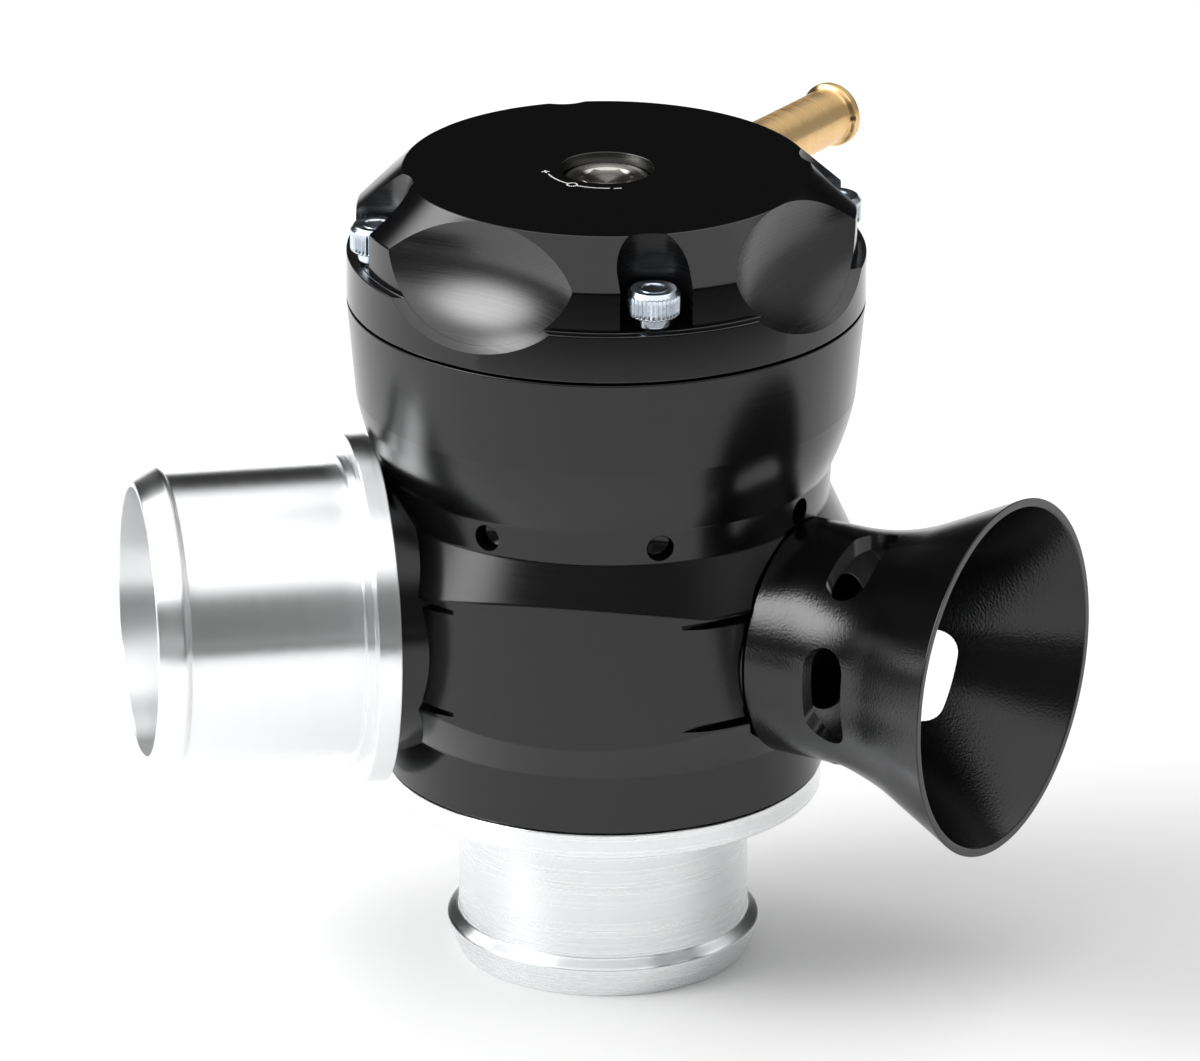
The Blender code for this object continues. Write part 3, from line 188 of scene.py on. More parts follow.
def ring_shape(rings, placed=None, closed=True):
    """Joins each ring of points to the next one. rings holds rows x steps x 3 coordinates.

    Point (i, j) meets (i, j + 1), (i + 1, j + 1) and (i + 1, j), counted round the ring, and
    the last row meets the first one where closed is true. Rows may shrink to one point.
    """
    rows, steps = rings.shape[:2]
    row = np.arange(rows if closed else rows - 1)[:, None]
    column = np.arange(steps)[None, :]
    next_row, next_column = (row + 1) % rows, (column + 1) % steps
    corners = (
        row * steps + column,
        row * steps + next_column,
        next_row * steps + next_column,
        next_row * steps + column,
    )
    points = rings.reshape(-1, 3)
    if placed is not None:
        points = points @ placed[:3, :3].T + placed[:3, 3]
    return points, np.stack(corners, axis=-1).reshape(-1, 4)


def turned_rings(outline, steps, shape=None):
    """Turns an outline of (radius, height) points: x = r cos a, y = r sin a, z = h.

    shape may change the radii and heights, each rows x steps, by the angle a.
    """
    angle = np.linspace(0.0, math.tau, steps, endpoint=False)[None, :]
    radius = np.repeat(outline[:, :1], steps, axis=1)
    height = np.repeat(outline[:, 1:], steps, axis=1)
    if shape is not None:
        radius, height = shape(radius, height, angle)
    return np.stack((radius * np.cos(angle), radius * np.sin(angle), height), axis=-1)


def capped_rings(first, last):
    """Two rings of points, each closed to its middle point."""
    ends = [np.broadcast_to(ring.mean(axis=0), ring.shape) for ring in (first, last)]
    return np.stack((ends[0], first, last, ends[1]))


def prism_rings(outline, low, high):
    """A flat outline of (x, y) points at two heights, which may differ from point to point."""
    return capped_rings(*(
        np.column_stack((outline, np.broadcast_to(height, len(outline)))) for height in (low, high)))


def joined(shapes):
    """Several shapes as one."""
    counts = np.cumsum([0] + [len(points) for points, faces in shapes])
    points = np.concatenate([points for points, faces in shapes])
    faces = np.concatenate([faces + start for (_, faces), start in zip(shapes, counts)])
    return points, faces


def rounded(outline, reach, least_turn=7.0):
    """Rounds the corners of a closed outline of (radius, height) points.

    Where the outline turns by more than least_turn degrees, the corner P gives way to the
    curve (1-s)^2 A + 2s(1-s) P + s^2 B, whose ends A and B lie at the reach along both sides.
    A guard point beyond each end keeps the shading of the flat next to it level.
    """
    points = np.array(outline, float)
    to_before = np.roll(points, 1, axis=0) - points
    to_after = np.roll(points, -1, axis=0) - points
    length_before = np.maximum(np.linalg.norm(to_before, axis=1), 1e-9)
    length_after = np.maximum(np.linalg.norm(to_after, axis=1), 1e-9)
    to_before /= length_before[:, None]
    to_after /= length_after[:, None]
    straightness = -(to_before * to_after).sum(axis=1)
    corner = (straightness < math.cos(math.radians(least_turn))) & (points[:, 0] > 1e-6)
    room = np.minimum(length_before, length_after)
    cut = np.minimum(reach, 0.35 * room)[:, None]
    guard = np.minimum(cut[:, 0] + 0.12, 0.45 * room)[:, None]
    start, end = points + to_before * cut, points + to_after * cut
    share = np.linspace(0.0, 1.0, 6)[None, :, None]
    curve = (
        (1 - share) ** 2 * start[:, None]
        + 2 * share * (1 - share) * points[:, None]
        + share ** 2 * end[:, None]
    )
    first, last = points + to_before * guard, points + to_after * guard
    rows = np.concatenate((first[:, None], curve, last[:, None]), axis=1)
    rows[~corner] = points[~corner][:, None]
    kept = np.zeros(rows.shape[:2], bool)
    kept[:, 0] = True
    kept[corner] = True
    return rows[kept]


def divided(outline, longest):
    """Adds points to a closed outline so that no side is longer than the given length."""
    closed = np.vstack((outline, outline[:1]))
    along = np.concatenate(([0.0], np.cumsum(np.linalg.norm(np.diff(closed, axis=0), axis=1))))
    marks = np.concatenate([
        np.linspace(start, end, max(1, math.ceil((end - start) / longest)), endpoint=False)
        for start, end in zip(along, along[1:])
    ])
    return np.stack([np.interp(marks, along, closed[:, axis]) for axis in (0, 1)], axis=1)


def turned_shape(outline, longest, placed=None, steps=None, shape=None, least_turn=7.0):
    """A closed turned solid with its edges broken and no side longer than the given length."""
    points = divided(rounded(outline, edge_break(), least_turn), longest)
    return ring_shape(turned_rings(points, steps or sizes().steps, shape), placed)


def bar(radius, top, bottom):
    """The outline of a plain round bar."""
    return [(0, top), (radius, top), (radius, bottom), (0, bottom)]


def plain_turned(outline, steps, placed=None):
    """A closed turned solid with sharp edges, used as a cutting tool."""
    return ring_shape(turned_rings(np.array(outline, float), steps), placed)


# Meshes


def add_object(name, data):
    """Puts a mesh, a lamp or a camera into the scene."""
    thing = bpy.data.objects.new(name, data)
    bpy.context.scene.collection.objects.link(thing)
    return thing


def add_piece(name, shape):
    """Makes a shape into an object, with its poles closed, faces outwards and edges sharp."""
    points, faces = shape
    mesh = bpy.data.meshes.new(name)
    mesh.from_pydata((points * MM).tolist(), [], faces.tolist())
    clean(mesh)
    return add_object(name, mesh)


def clean(mesh, sharp=32.0):
    """Merges what meets, turns the faces outwards and marks the edges sharper than an angle."""
    form = bmesh.new()
    form.from_mesh(mesh)
    bmesh.ops.remove_doubles(form, verts=form.verts, dist=1e-7)
    bmesh.ops.dissolve_degenerate(form, edges=form.edges, dist=1e-7)
    bmesh.ops.recalc_face_normals(form, faces=form.faces)
    form.to_mesh(mesh)
    form.free()
    mesh.shade_smooth()
    mesh.set_sharp_from_angle(angle=math.radians(sharp))


def carve(piece, shape, operation="DIFFERENCE"):
    """Cuts a shape out of a piece for good, or adds it."""
    tool = add_piece(piece.name + "_tool", shape)
    modifier = piece.modifiers.new("carve", "BOOLEAN")
    modifier.operation = operation
    modifier.solver = "EXACT"
    modifier.object = tool
    graph = bpy.context.evaluated_depsgraph_get()
    mesh = bpy.data.meshes.new_from_object(piece.evaluated_get(graph))
    piece.modifiers.clear()
    clean(mesh)
    piece.data = mesh
    bpy.data.objects.remove(tool)


def dress(piece, material, body, node):
    """Gives a piece its finish, and puts it on its body in place of a CAD node."""
    piece.data.materials.clear()
    piece.data.materials.append(material)
    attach(piece, body)
    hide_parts(node)
    return piece


# Finishes


def add_node(tree, kind, links=None, **settings):
    """Adds a node. links gives its inputs by name or number, as a socket or as a value."""
    node = tree.nodes.new(kind)
    for key, value in settings.items():
        setattr(node, key, value)
    for place, value in (links or {}).items():
        if isinstance(value, bpy.types.NodeSocket):
            tree.links.new(value, node.inputs[place])
        else:
            node.inputs[place].default_value = value
    return node


def start_material(name, colour, metallic, roughness):
    """A material with a Principled shader, whose constant values are set on its sockets.

    The shader's own IOR of 1.5 suits the oxide, the rubber and the plastic, and a metal keeps it.
    """
    material = bpy.data.materials.new(name)
    material.use_nodes = True
    shader = material.node_tree.nodes["Principled BSDF"]
    shader.inputs["Base Color"].default_value = colour
    shader.inputs["Metallic"].default_value = metallic
    shader.inputs["Roughness"].default_value = roughness
    return material, material.node_tree, shader


# Blender's noise stays mostly between these values.
NOISE_RANGE = {"From Min": 0.3, "From Max": 0.7}


def set_surface(tree, shader, rough, height, depth):
    """Links the roughness, and raises the surface with a pattern by a depth in millimetres."""
    bump = add_node(tree, "ShaderNodeBump", {"Height": height, "Strength": 1.0, "Distance": depth * MM})
    tree.links.new(rough.outputs[0], shader.inputs["Roughness"])
    tree.links.new(bump.outputs["Normal"], shader.inputs["Normal"])


def coordinates_in(tree, placed=None):
    """The object's coordinates in a frame: the distance from its Z axis, X, Y, Z and the vector."""
    place = add_node(tree, "ShaderNodeTexCoord").outputs["Object"]
    if placed is not None:
        turn = Matrix(placed[:3, :3]).transposed()
        moved = turn @ (-Vector(placed[:3, 3]) * MM)
        mapping = add_node(tree, "ShaderNodeMapping", {
            "Vector": place, "Location": moved, "Rotation": turn.to_euler()})
        place = mapping.outputs["Vector"]
    x, y, z = add_node(tree, "ShaderNodeSeparateXYZ", {0: place}).outputs
    flat = add_node(tree, "ShaderNodeCombineXYZ", {"X": x, "Y": y})
    radius = add_node(tree, "ShaderNodeVectorMath", {0: flat.outputs[0]}, operation="LENGTH")
    return radius.outputs["Value"], x, y, z, place


def line_pattern(tree, radius, height, spacing, detail=2.0):
    """Noise that changes only across the turning marks, one mark per spacing in millimetres."""
    marks = add_node(tree, "ShaderNodeCombineXYZ", {"X": radius, "Y": height})
    noise = add_node(tree, "ShaderNodeTexNoise", {
        "Vector": marks.outputs[0], "Scale": 1.0 / (spacing * MM), "Detail": detail,
        "Roughness": 0.55}, noise_dimensions="2D")
    return noise.outputs["Fac"]


def mask_of(tree, marks):
    """A mask that is one where any of the marks is. A mark is where all its bands meet.

    A band is a value, its middle and how far it may be from that, in millimetres.
    """
    mask = 0.0
    for bands in marks:
        mark = 1.0
        for value, middle, reach in bands:
            band = add_node(tree, "ShaderNodeMath", {0: value, 1: middle * MM, 2: reach * MM},
                            operation="COMPARE")
            meeting = add_node(tree, "ShaderNodeMath", {0: mark, 1: band.outputs[0]}, operation="MULTIPLY")
            mark = meeting.outputs[0]
        mask = add_node(tree, "ShaderNodeMath", {0: mask, 1: mark}, operation="MAXIMUM").outputs[0]
    return mask


def black_anodised(name, placed=None, roughness=0.2, grit_depth=0.003, grit_width=0.2):
    """Black dyed hard anodised aluminium, turned and then bead blasted lightly.

    The dye makes it nearly black, and the glassy oxide over it gives soft grey reflections
    with the faint rings of the lathe and the grain of the blasting in them.
    """
    material, tree, shader = start_material(name, colours().black, 0.0, roughness)
    radius, _, _, height, place = coordinates_in(tree, placed)
    # Feed marks of a finishing cut are 0.1 mm apart, drawn at 0.3 mm to show in the render.
    lines, line_depth = line_pattern(tree, radius, height, 0.3), 0.0012
    # The blasting dents are 0.1 mm across, drawn larger to show in the render.
    grit = add_node(tree, "ShaderNodeTexNoise", {
        "Vector": place, "Scale": 1.0 / (grit_width * MM), "Detail": 2.0})
    relief = add_node(tree, "ShaderNodeMath", {
        0: lines, 1: line_depth / grit_depth, 2: grit.outputs["Fac"]}, operation="MULTIPLY_ADD")
    rough = add_node(tree, "ShaderNodeMapRange", {
        "Value": lines, **NOISE_RANGE, "To Min": 0.9 * roughness, "To Max": 1.1 * roughness})
    set_surface(tree, shader, rough, relief.outputs[0], grit_depth)
    return material


def cap_black(name):
    """Black anodised aluminium as on the cap: glossy where it was turned, satin where milled.

    The rows left by the ball end of the milling cutter show in the dishes as fine lines, and
    the top carries a thin arc with a plus and a minus, which shows how the screw is turned.
    """
    material, tree, shader = start_material(name, colours().black, 0.0, 0.25)
    radius, _, _, height, _ = coordinates_in(tree)
    # Rows of the finishing cut are 0.15 mm apart, drawn at 0.25 mm to show in the render.
    rows = add_node(tree, "ShaderNodeTexNoise", {
        "W": height, "Scale": 1.0 / (0.25 * MM), "Detail": 1.0}, noise_dimensions="1D").outputs["Fac"]
    # On the cone, the radius plus the height times the cone's slope is the same everywhere.
    slope = (WALL_RADIUS - CAP_TOP_RADIUS) / (CAP_TOP - WALL_TOP)
    level = add_node(tree, "ShaderNodeMath", {0: height, 1: slope, 2: radius}, operation="MULTIPLY_ADD")
    skin = 0.03
    top = (height, CAP_TOP, skin)
    on_top = mask_of(tree, [[top]])
    turned = mask_of(tree, [
        [top], [(level.outputs[0], WALL_RADIUS + WALL_TOP * slope, skin)],
        [(radius, WALL_RADIUS, skin)], [(radius, RIM_RADIUS, skin)],
    ])
    milled = add_node(tree, "ShaderNodeMath", {0: 1.0, 1: turned}, operation="SUBTRACT").outputs[0]
    satin = add_node(tree, "ShaderNodeMapRange", {
        "Value": rows, **NOISE_RANGE, "To Min": 0.24, "To Max": 0.28})
    glossy = add_node(tree, "ShaderNodeMix", {0: on_top, 2: 0.12, 3: 0.07}, data_type="FLOAT")
    rough = add_node(tree, "ShaderNodeMix", {0: milled, 2: glossy.outputs[0], 3: satin.outputs[0]},
                     data_type="FLOAT")
    marks = add_node(tree, "ShaderNodeMath", {0: rows, 1: milled}, operation="MULTIPLY")
    set_surface(tree, shader, rough, marks.outputs[0], 0.001)
    # The cutter leaves the dishes brighter than the turned surfaces.
    bright = add_node(tree, "ShaderNodeMix", {0: milled, 2: 0.5, 3: 0.85}, data_type="FLOAT")
    tree.links.new(bright.outputs[0], shader.inputs["Specular IOR Level"])
    printed = mask_of(tree, [[top, *bands] for bands in adjusting_marks(tree)])
    colour = add_node(tree, "ShaderNodeMix", {
        0: printed, 6: colours().black, 7: colours().print}, data_type="RGBA")
    tree.links.new(colour.outputs[2], shader.inputs["Base Color"])
    return material


def adjusting_marks(tree):
    """The arc beside the preload screw with its ring, and the plus and the minus at its ends.

    Each mark is a list of bands for mask_of, out of distances from a point on the arc.
    """
    line, ring, stroke = 0.1, 0.55, 0.45
    mark_radius, ring_azimuth, plus_azimuth, minus_azimuth = 6.85, 236.0, 192.0, 280.0
    from_ring = coordinates_in(tree, upright_frame(ring_azimuth, mark_radius))[0]
    from_screw, outward, sideways, _, _ = coordinates_in(tree, upright_frame(ring_azimuth))
    arc = [(from_screw, mark_radius, line), (sideways, 0.0, 4.1), (outward, 10.0, 10.0),
           (from_ring, ring + 10.0, 10.0)]
    marks = [arc, [(from_ring, ring, line)]]
    for azimuth, strokes in ((plus_azimuth, 2), (minus_azimuth, 1)):
        _, outward, sideways, _, _ = coordinates_in(tree, upright_frame(azimuth, mark_radius + 0.1))
        marks += [
            [(outward, 0.0, line), (sideways, 0.0, stroke)],
            [(outward, 0.0, stroke), (sideways, 0.0, line)],
        ][:strokes]
    return marks


def stretch_across_rings(tree, shader, placed):
    """Stretches the reflections across the rings of the lathe, as fine grooves do.

    The ring through a point runs along the cross product of the axis with the way from the
    axis to the point, and the stretch lies across it, in the surface.
    """
    axis, middle = (0.0, 0.0, 1.0), (0.0, 0.0, 0.0)
    if placed is not None:
        axis, middle = tuple(placed[:3, 2]), tuple(placed[:3, 3] * MM)
    place = add_node(tree, "ShaderNodeTexCoord").outputs["Object"]
    normal = add_node(tree, "ShaderNodeNewGeometry").outputs["Normal"]
    outward = add_node(tree, "ShaderNodeVectorMath", {0: place, 1: middle}, operation="SUBTRACT")
    ring = add_node(tree, "ShaderNodeVectorMath", {0: axis, 1: outward.outputs[0]},
                    operation="CROSS_PRODUCT")
    across = add_node(tree, "ShaderNodeVectorMath", {0: ring.outputs[0], 1: normal},
                      operation="CROSS_PRODUCT")
    unit = add_node(tree, "ShaderNodeVectorMath", {0: across.outputs[0]}, operation="NORMALIZE")
    tree.links.new(unit.outputs[0], shader.inputs["Tangent"])
    shader.inputs["Anisotropic"].default_value = 0.9


def turned_metal(name, colour, placed=None, roughness=0.34, line_depth=0.0006):
    """Bare metal straight from the lathe.

    Fine rings round the axis stretch the reflections across them, and broader bands of
    slightly different sheen show where the tool passed.
    """
    material, tree, shader = start_material(name, colour, 1.0, roughness)
    stretch_across_rings(tree, shader, placed)
    radius, _, _, height, _ = coordinates_in(tree, placed)
    # Feed marks of a finishing cut are 0.1 mm apart, drawn at 0.25 mm to show in the render.
    lines = line_pattern(tree, radius, height, 0.25)
    bands = line_pattern(tree, radius, height, 1.5, detail=1.0)
    broad = add_node(tree, "ShaderNodeMapRange", {
        "Value": bands, **NOISE_RANGE, "To Min": 0.96 * roughness, "To Max": 1.06 * roughness})
    fine = add_node(tree, "ShaderNodeMapRange", {
        "Value": lines, **NOISE_RANGE, "To Min": -0.02, "To Max": 0.02})
    rough = add_node(tree, "ShaderNodeMath", {0: fine.outputs[0], 1: broad.outputs[0]}, operation="ADD")
    set_surface(tree, shader, rough, lines, line_depth)
    return material


def grained(name, colour, metallic, rough, scale, detail, depth=0.0):
    """A surface whose sheen goes from one roughness to another in small clouds.

    scale is the number of clouds in a metre, and depth is their relief in millimetres.
    """
    low, high = rough
    material, tree, shader = start_material(name, colour, metallic, (low + high) / 2)
    place = add_node(tree, "ShaderNodeTexCoord").outputs["Object"]
    cloud = add_node(tree, "ShaderNodeTexNoise", {
        "Vector": place, "Scale": scale, "Detail": detail}).outputs["Fac"]
    sheen = add_node(tree, "ShaderNodeMapRange", {
        "Value": cloud, **NOISE_RANGE, "To Min": low, "To Max": high})
    set_surface(tree, shader, sheen, cloud, depth)
    return material


# Shapes of the body


def belly_faces(radius, height, angle):
    """Draws the belly in to a large arc on its front and its back.

    With c = -5.9 and R = 33.1 mm, the arc's reach at the angle t from the front is
    sqrt(R^2 - (c sin t)^2) + c |cos t|, and e is what the belly's radius has above that. The
    belly loses e of radius, and both its edges move along their cones by e times the slope.
    """
    centre, arc = -5.9, 33.1
    lower_slope = (BELLY_LOW - FOOT_TOP) / (BELLY_RADIUS - FOOT_RADIUS)
    upper_slope = (WAIST_LOW - BELLY_HIGH) / (BELLY_RADIUS - WAIST_RADIUS)
    turn = angle - math.radians(BELLY_FACE_AZIMUTH)
    reach = np.sqrt(arc ** 2 - (centre * np.sin(turn)) ** 2) + centre * np.abs(np.cos(turn))
    drawn_in = np.maximum(BELLY_RADIUS - reach, 0.0)
    heights = [FOOT_TOP, BELLY_LOW, BELLY_HIGH, WAIST_LOW]
    inwards = np.interp(height, heights, [0.0, 1.0, 1.0, 0.0])
    upwards = np.interp(height, heights, [0.0, -lower_slope, upper_slope, 0.0])
    outside = radius > 23.0
    return radius - outside * inwards * drawn_in, height + outside * upwards * drawn_in


def body_outline():
    """The outside from the top down, and then the stepped bore from the foot up.

    The shoulder is a straight line from radius 28 to 25.4 plus the bulge 1.2 s (1 - s).
    """
    share = np.linspace(0.0, 1.0, 9)
    shoulder = np.stack((28.0 - 2.6 * share + 1.2 * share * (1 - share), 67.3 - 8.0 * share), axis=1)
    foot, foot_bore, groove = 23.35, 18.3, 19.0
    return [
        (RIM_RADIUS, BODY_TOP), *shoulder.tolist(), (WAIST_RADIUS, WAIST_LOW),
        (BELLY_RADIUS, BELLY_HIGH), (BELLY_RADIUS, BELLY_LOW), (FOOT_RADIUS, FOOT_TOP),
        (FOOT_RADIUS, foot), (foot_bore, foot), (foot_bore, 24.175), (groove, 24.175),
        (groove, 25.875), (foot_bore, 25.875), (foot_bore, 29.3), (MAIN_BORE, 29.3),
        (MAIN_BORE, 56.3), (UPPER_BORE, 56.3), (UPPER_BORE, BODY_TOP),
    ]


def wire_slots(azimuth, boss_radius):
    """Four slots beside a port, each a wedge that starts on the skin and deepens inwards.

    Seen from above the floor is the line from the belly's radius at 44 degrees through 26.8 mm
    at 25.8 degrees, and the slot is 0.5 mm high at its floor and 1.8 mm at its mouth.
    """
    offset, reach = 6.1, 3.0
    start, deep = [
        radius * np.array([math.cos(math.radians(turn)), math.sin(math.radians(turn))])
        for radius, turn in ((BELLY_RADIUS, 44.0), (26.8, 25.8))
    ]
    along = (deep - start) / np.linalg.norm(deep - start)
    across = math.sqrt(boss_radius ** 2 - offset ** 2) - 1.0
    end = start + along * (across - start[1]) / along[1]
    outward = np.array([-along[1], along[0]])
    outward *= np.sign(outward @ start)
    plan = np.array([start, end, end + outward * reach, start + outward * reach])
    half = np.array([0.25, 0.25, 0.9, 0.9])
    placed = upright_frame(azimuth)
    return [
        ring_shape(prism_rings(plan * (1, side), level - half, level + half), placed, closed=False)
        for side in (-1, 1) for level in (PORT_HEIGHT - offset, PORT_HEIGHT + offset)
    ]


def make_body():
    """Turns the body, then slots it, adds both bosses, and faces and bores the ports."""
    body = add_piece("body_turned", turned_shape(body_outline(), 0.9, shape=belly_faces))
    outlet = radial_frame(OUTLET_AZIMUTH, PORT_HEIGHT)
    trumpet = radial_frame(TRUMPET_AZIMUTH, PORT_HEIGHT)
    outlet_boss, trumpet_boss, inside = 16.2, 13.0, 8.5
    carve(body, joined(wire_slots(OUTLET_AZIMUTH, outlet_boss) + wire_slots(TRUMPET_AZIMUTH, trumpet_boss)))
    carve(body, joined([
        plain_turned(bar(outlet_boss, 27.1, inside), 192, outlet),
        plain_turned(bar(trumpet_boss, 26.0, inside), 192, trumpet),
    ]), "UNION")
    carve(body, joined([
        plain_turned(bar(19.9, RIM_RADIUS, 26.1), 240, outlet),
        plain_turned(bar(13.6, RIM_RADIUS, 25.0), 192, trumpet),
    ]))
    # The bosses reach into the main bore, so it is cut again, a little under its size.
    carve(body, plain_turned(bar(MAIN_BORE - 0.1, 60.0, 24.0), 96))
    carve(body, joined([
        plain_turned([(0, 27.5), (14.8, 27.5), (14.8, 25.4), (15.5, 25.4), (15.5, 23.7), (14.8, 23.7),
                      (14.8, 20.0), (13.0, 20.0), (13.0, inside), (0, inside)], 128, outlet),
        plain_turned([(0, 26.4), (10.0, 26.4), (10.0, 19.4), (7.6, 19.4), (7.6, inside), (0, inside)],
                     96, trumpet),
    ]))
    spanner = [(0, 27.0), (1.55, 27.0), (1.55, 23.0), (0, 22.1)]
    holes = [plain_turned(spanner, 48, radial_frame(SPANNER_AZIMUTH + 45 * k, 57.4)) for k in range(8)]
    carve(body, joined(holes + screw_holes(BODY_TOP + 1.4, 70.7)))
    # The barrel meets the shoulder at 4.6 degrees, and that crease shows.
    clean(body.data, sharp=4.2)
    return body


# Shapes of the cap


def cap_outline():
    """The outside from the top down, the plug with its seal's groove, and the screw's hole."""
    ledge, foot, plug, screw_head = 83.8, 78.4, 18.7, 5.25
    return [
        (screw_head, CAP_TOP), (CAP_TOP_RADIUS, CAP_TOP), (WALL_RADIUS, WALL_TOP),
        (WALL_RADIUS, ledge), (RIM_RADIUS, ledge), (RIM_RADIUS, foot), (plug, foot),
        (plug, 77.05), (17.2, 77.05), (17.2, 75.25), (plug, 75.25), (plug, 73.9), (14.0, 73.9),
        (14.0, 88.0), (8.0, 88.0), (8.0, 84.9), (4.3, 84.9), (4.3, 87.9), (screw_head, 87.9),
    ]


def screw_holes(top, bottom):
    """The holes for the four cap screws."""
    return [
        plain_turned(bar(1.7, top, bottom), 32,
                     upright_frame(CAP_SCREW_AZIMUTH + 90 * number, CAP_SCREW_CIRCLE))
        for number in range(4)
    ]


def scallop(azimuth):
    """A stretched ball: (11.6 cos v cos u, 20 cos v sin u, 11.6 sin v), leaned by 26.1 degrees."""
    latitude = np.linspace(-math.pi / 2, math.pi / 2, 97)
    ball = np.stack((11.6 * np.cos(latitude), 11.6 * np.sin(latitude)), axis=1)
    rings = turned_rings(ball, 160) * (1.0, 20.0 / 11.6, 1.0)
    lean = Matrix.Rotation(math.radians(-26.1), 4, "Y") @ Matrix.Translation((9.1, 0.0, 0.0))
    return ring_shape(rings, upright_frame(azimuth, 25.84, 86.75) @ np.array(lean), closed=False)


def screw_pocket(azimuth):
    """A round-backed pocket that is open outwards."""
    radius = 4.05
    back = np.linspace(math.pi / 2, math.pi * 3 / 2, 49)
    outline = np.stack((radius * np.cos(back), radius * np.sin(back)), axis=1)
    outline = np.vstack((outline, [(4.5, -radius), (4.5, radius)]))
    placed = upright_frame(azimuth, CAP_SCREW_CIRCLE)
    return ring_shape(prism_rings(outline, 83.9, 95.0), placed, closed=False)


def make_cap():
    """Turns the cap, mills the dishes and the pockets, and cuts its holes and keyways."""
    cap = add_piece("cap_turned", turned_shape(cap_outline(), 0.9))
    quarters = [90 * number for number in range(4)]
    carve(cap, joined([scallop(SCALLOP_AZIMUTH + turn) for turn in quarters]))
    carve(cap, joined([screw_pocket(CAP_SCREW_AZIMUTH + turn) for turn in quarters]))
    key = np.array([(13.0, -1.7), (15.4, -1.7), (15.4, 1.7), (13.0, 1.7)])
    tools = screw_holes(84.6, 77.0) + [
        ring_shape(prism_rings(key, 72.9, 82.6), upright_frame(KEYWAY_AZIMUTH + turn), closed=False)
        for turn in (0, 180)
    ]
    socket = [(0, 30.0), (3.5, 30.0), (3.5, 17.5), (2.0, 17.5), (2.0, 13.0), (0, 13.0)]
    tools.append(plain_turned(socket, 64, radial_frame(NIPPLE_AZIMUTH, NIPPLE_HEIGHT)))
    carve(cap, joined(tools))
    # The dishes meet the cone at a shallow angle, and that edge shows.
    clean(cap.data, sharp=6.0)
    return cap


# Shapes of the adaptors, the trumpet and the nipple


def inlet_outline():
    """A hose pipe, its flange and its plug. The bead slopes to the pipe's end.

    Down to its crest at 3.6 mm the bead is r = 16.4 + 1.35 (3 s^2 - 2 s^3), and below it the
    slope is r = 16.4 + 1.35 (1 - s^1.15), both with s from 0 to 1.
    """
    crest, rise = 3.6, 1.35
    share = np.linspace(0.0, 1.0, 13)
    flank = np.stack((PIPE_RADIUS + rise * share ** 2 * (3 - 2 * share), crest + 1.1 * (1 - share)), axis=1)
    slope = np.stack((PIPE_RADIUS + rise * (1 - share ** 1.15), crest * (1 - share)), axis=1)
    bead = np.vstack((flank, slope[1:]))
    bore, plug, flange = 14.9, 18.0, 24.6
    return [
        (bore, 29.0), (plug, 29.0), (plug, 28.225), (16.5, 28.225), (16.5, 26.425), (plug, 26.425),
        (plug, 25.875), (17.3, 25.875), (17.3, 24.175), (plug, 24.175), (plug, 23.05),
        (flange, 23.05), (flange, 20.3), (PIPE_RADIUS, 20.3), *bead.tolist(), (bore, 0.0),
    ]


def outlet_outline():
    """A hose pipe with a sloping bead and a collar, a thin flange and its plug."""
    bore, plug, flange = 15.1, 14.5, 19.6
    return [
        (bore, 53.1), (15.7, 53.1), (17.2, 50.3), (17.0, 49.8), (PIPE_RADIUS, 49.5),
        (PIPE_RADIUS, 30.0), (17.3, 30.0), (17.3, 29.0), (flange, 29.0), (flange, 26.4),
        (plug, 26.4), (plug, 25.4), (13.8, 25.4), (13.8, 23.7), (plug, 23.7), (plug, 23.15),
        (13.0, 23.15), (13.0, 21.35), (plug, 21.35), (plug, 20.3), (12.0, 20.3), (12.0, 29.0),
        (bore, 32.1),
    ]


def trumpet_outline():
    """A straight neck, an arc of 27 mm over 26 degrees and a cone, and the bell inside."""
    turn = np.radians(np.linspace(26.0, 0.0, 27))
    arc = np.stack((NECK_RADIUS + 27.0 * (1 - np.cos(turn)), 30.3 + 27.0 * np.sin(turn)), axis=1)
    mouth, face, spigot, throat = 51.0, 25.3, 9.7, 11.15
    return [
        (19.3, mouth), (20.3, mouth), *arc.tolist(), (NECK_RADIUS, face), (spigot, face),
        (spigot, 24.3), (8.2, 24.3), (8.2, 22.5), (spigot, 22.5), (spigot, 19.7), (7.6, 19.7),
        (7.6, 29.6), (throat, 30.6), (throat, 32.4),
    ]


def neck_window(angle, placed):
    """A round-ended window 5.4 mm wide that spans 49 degrees round the neck, cut radially.

    Its edge runs (half straight span + end sin v, 2.7 cos v) at one end and back at the other.
    """
    half_width, middle = 2.7, 35.55
    end = half_width / NECK_RADIUS
    straight = math.radians(49.0) / 2 - end
    bend = np.linspace(0.0, math.pi, 21)
    back = np.linspace(straight, -straight, 30)[1:-1]
    around = np.concatenate((straight + end * np.sin(bend), back,
                             -straight - end * np.sin(bend), -back))
    along = np.concatenate((half_width * np.cos(bend), np.full(len(back), -half_width),
                            -half_width * np.cos(bend), np.full(len(back), half_width)))
    around += math.radians(angle)
    edges = [
        np.stack((radius * np.cos(around), radius * np.sin(around), middle + along), axis=1)
        for radius in (7.0, 20.0)
    ]
    return ring_shape(capped_rings(*edges), placed, closed=False)


def make_trumpet(placed):
    """Turns the trumpet and cuts five windows through its neck."""
    shape = turned_shape(trumpet_outline(), 0.8, placed, least_turn=10.0)
    trumpet = add_piece("trumpet_turned", shape)
    carve(trumpet, joined([neck_window(94 + 72 * number, placed) for number in range(5)]))
    return trumpet


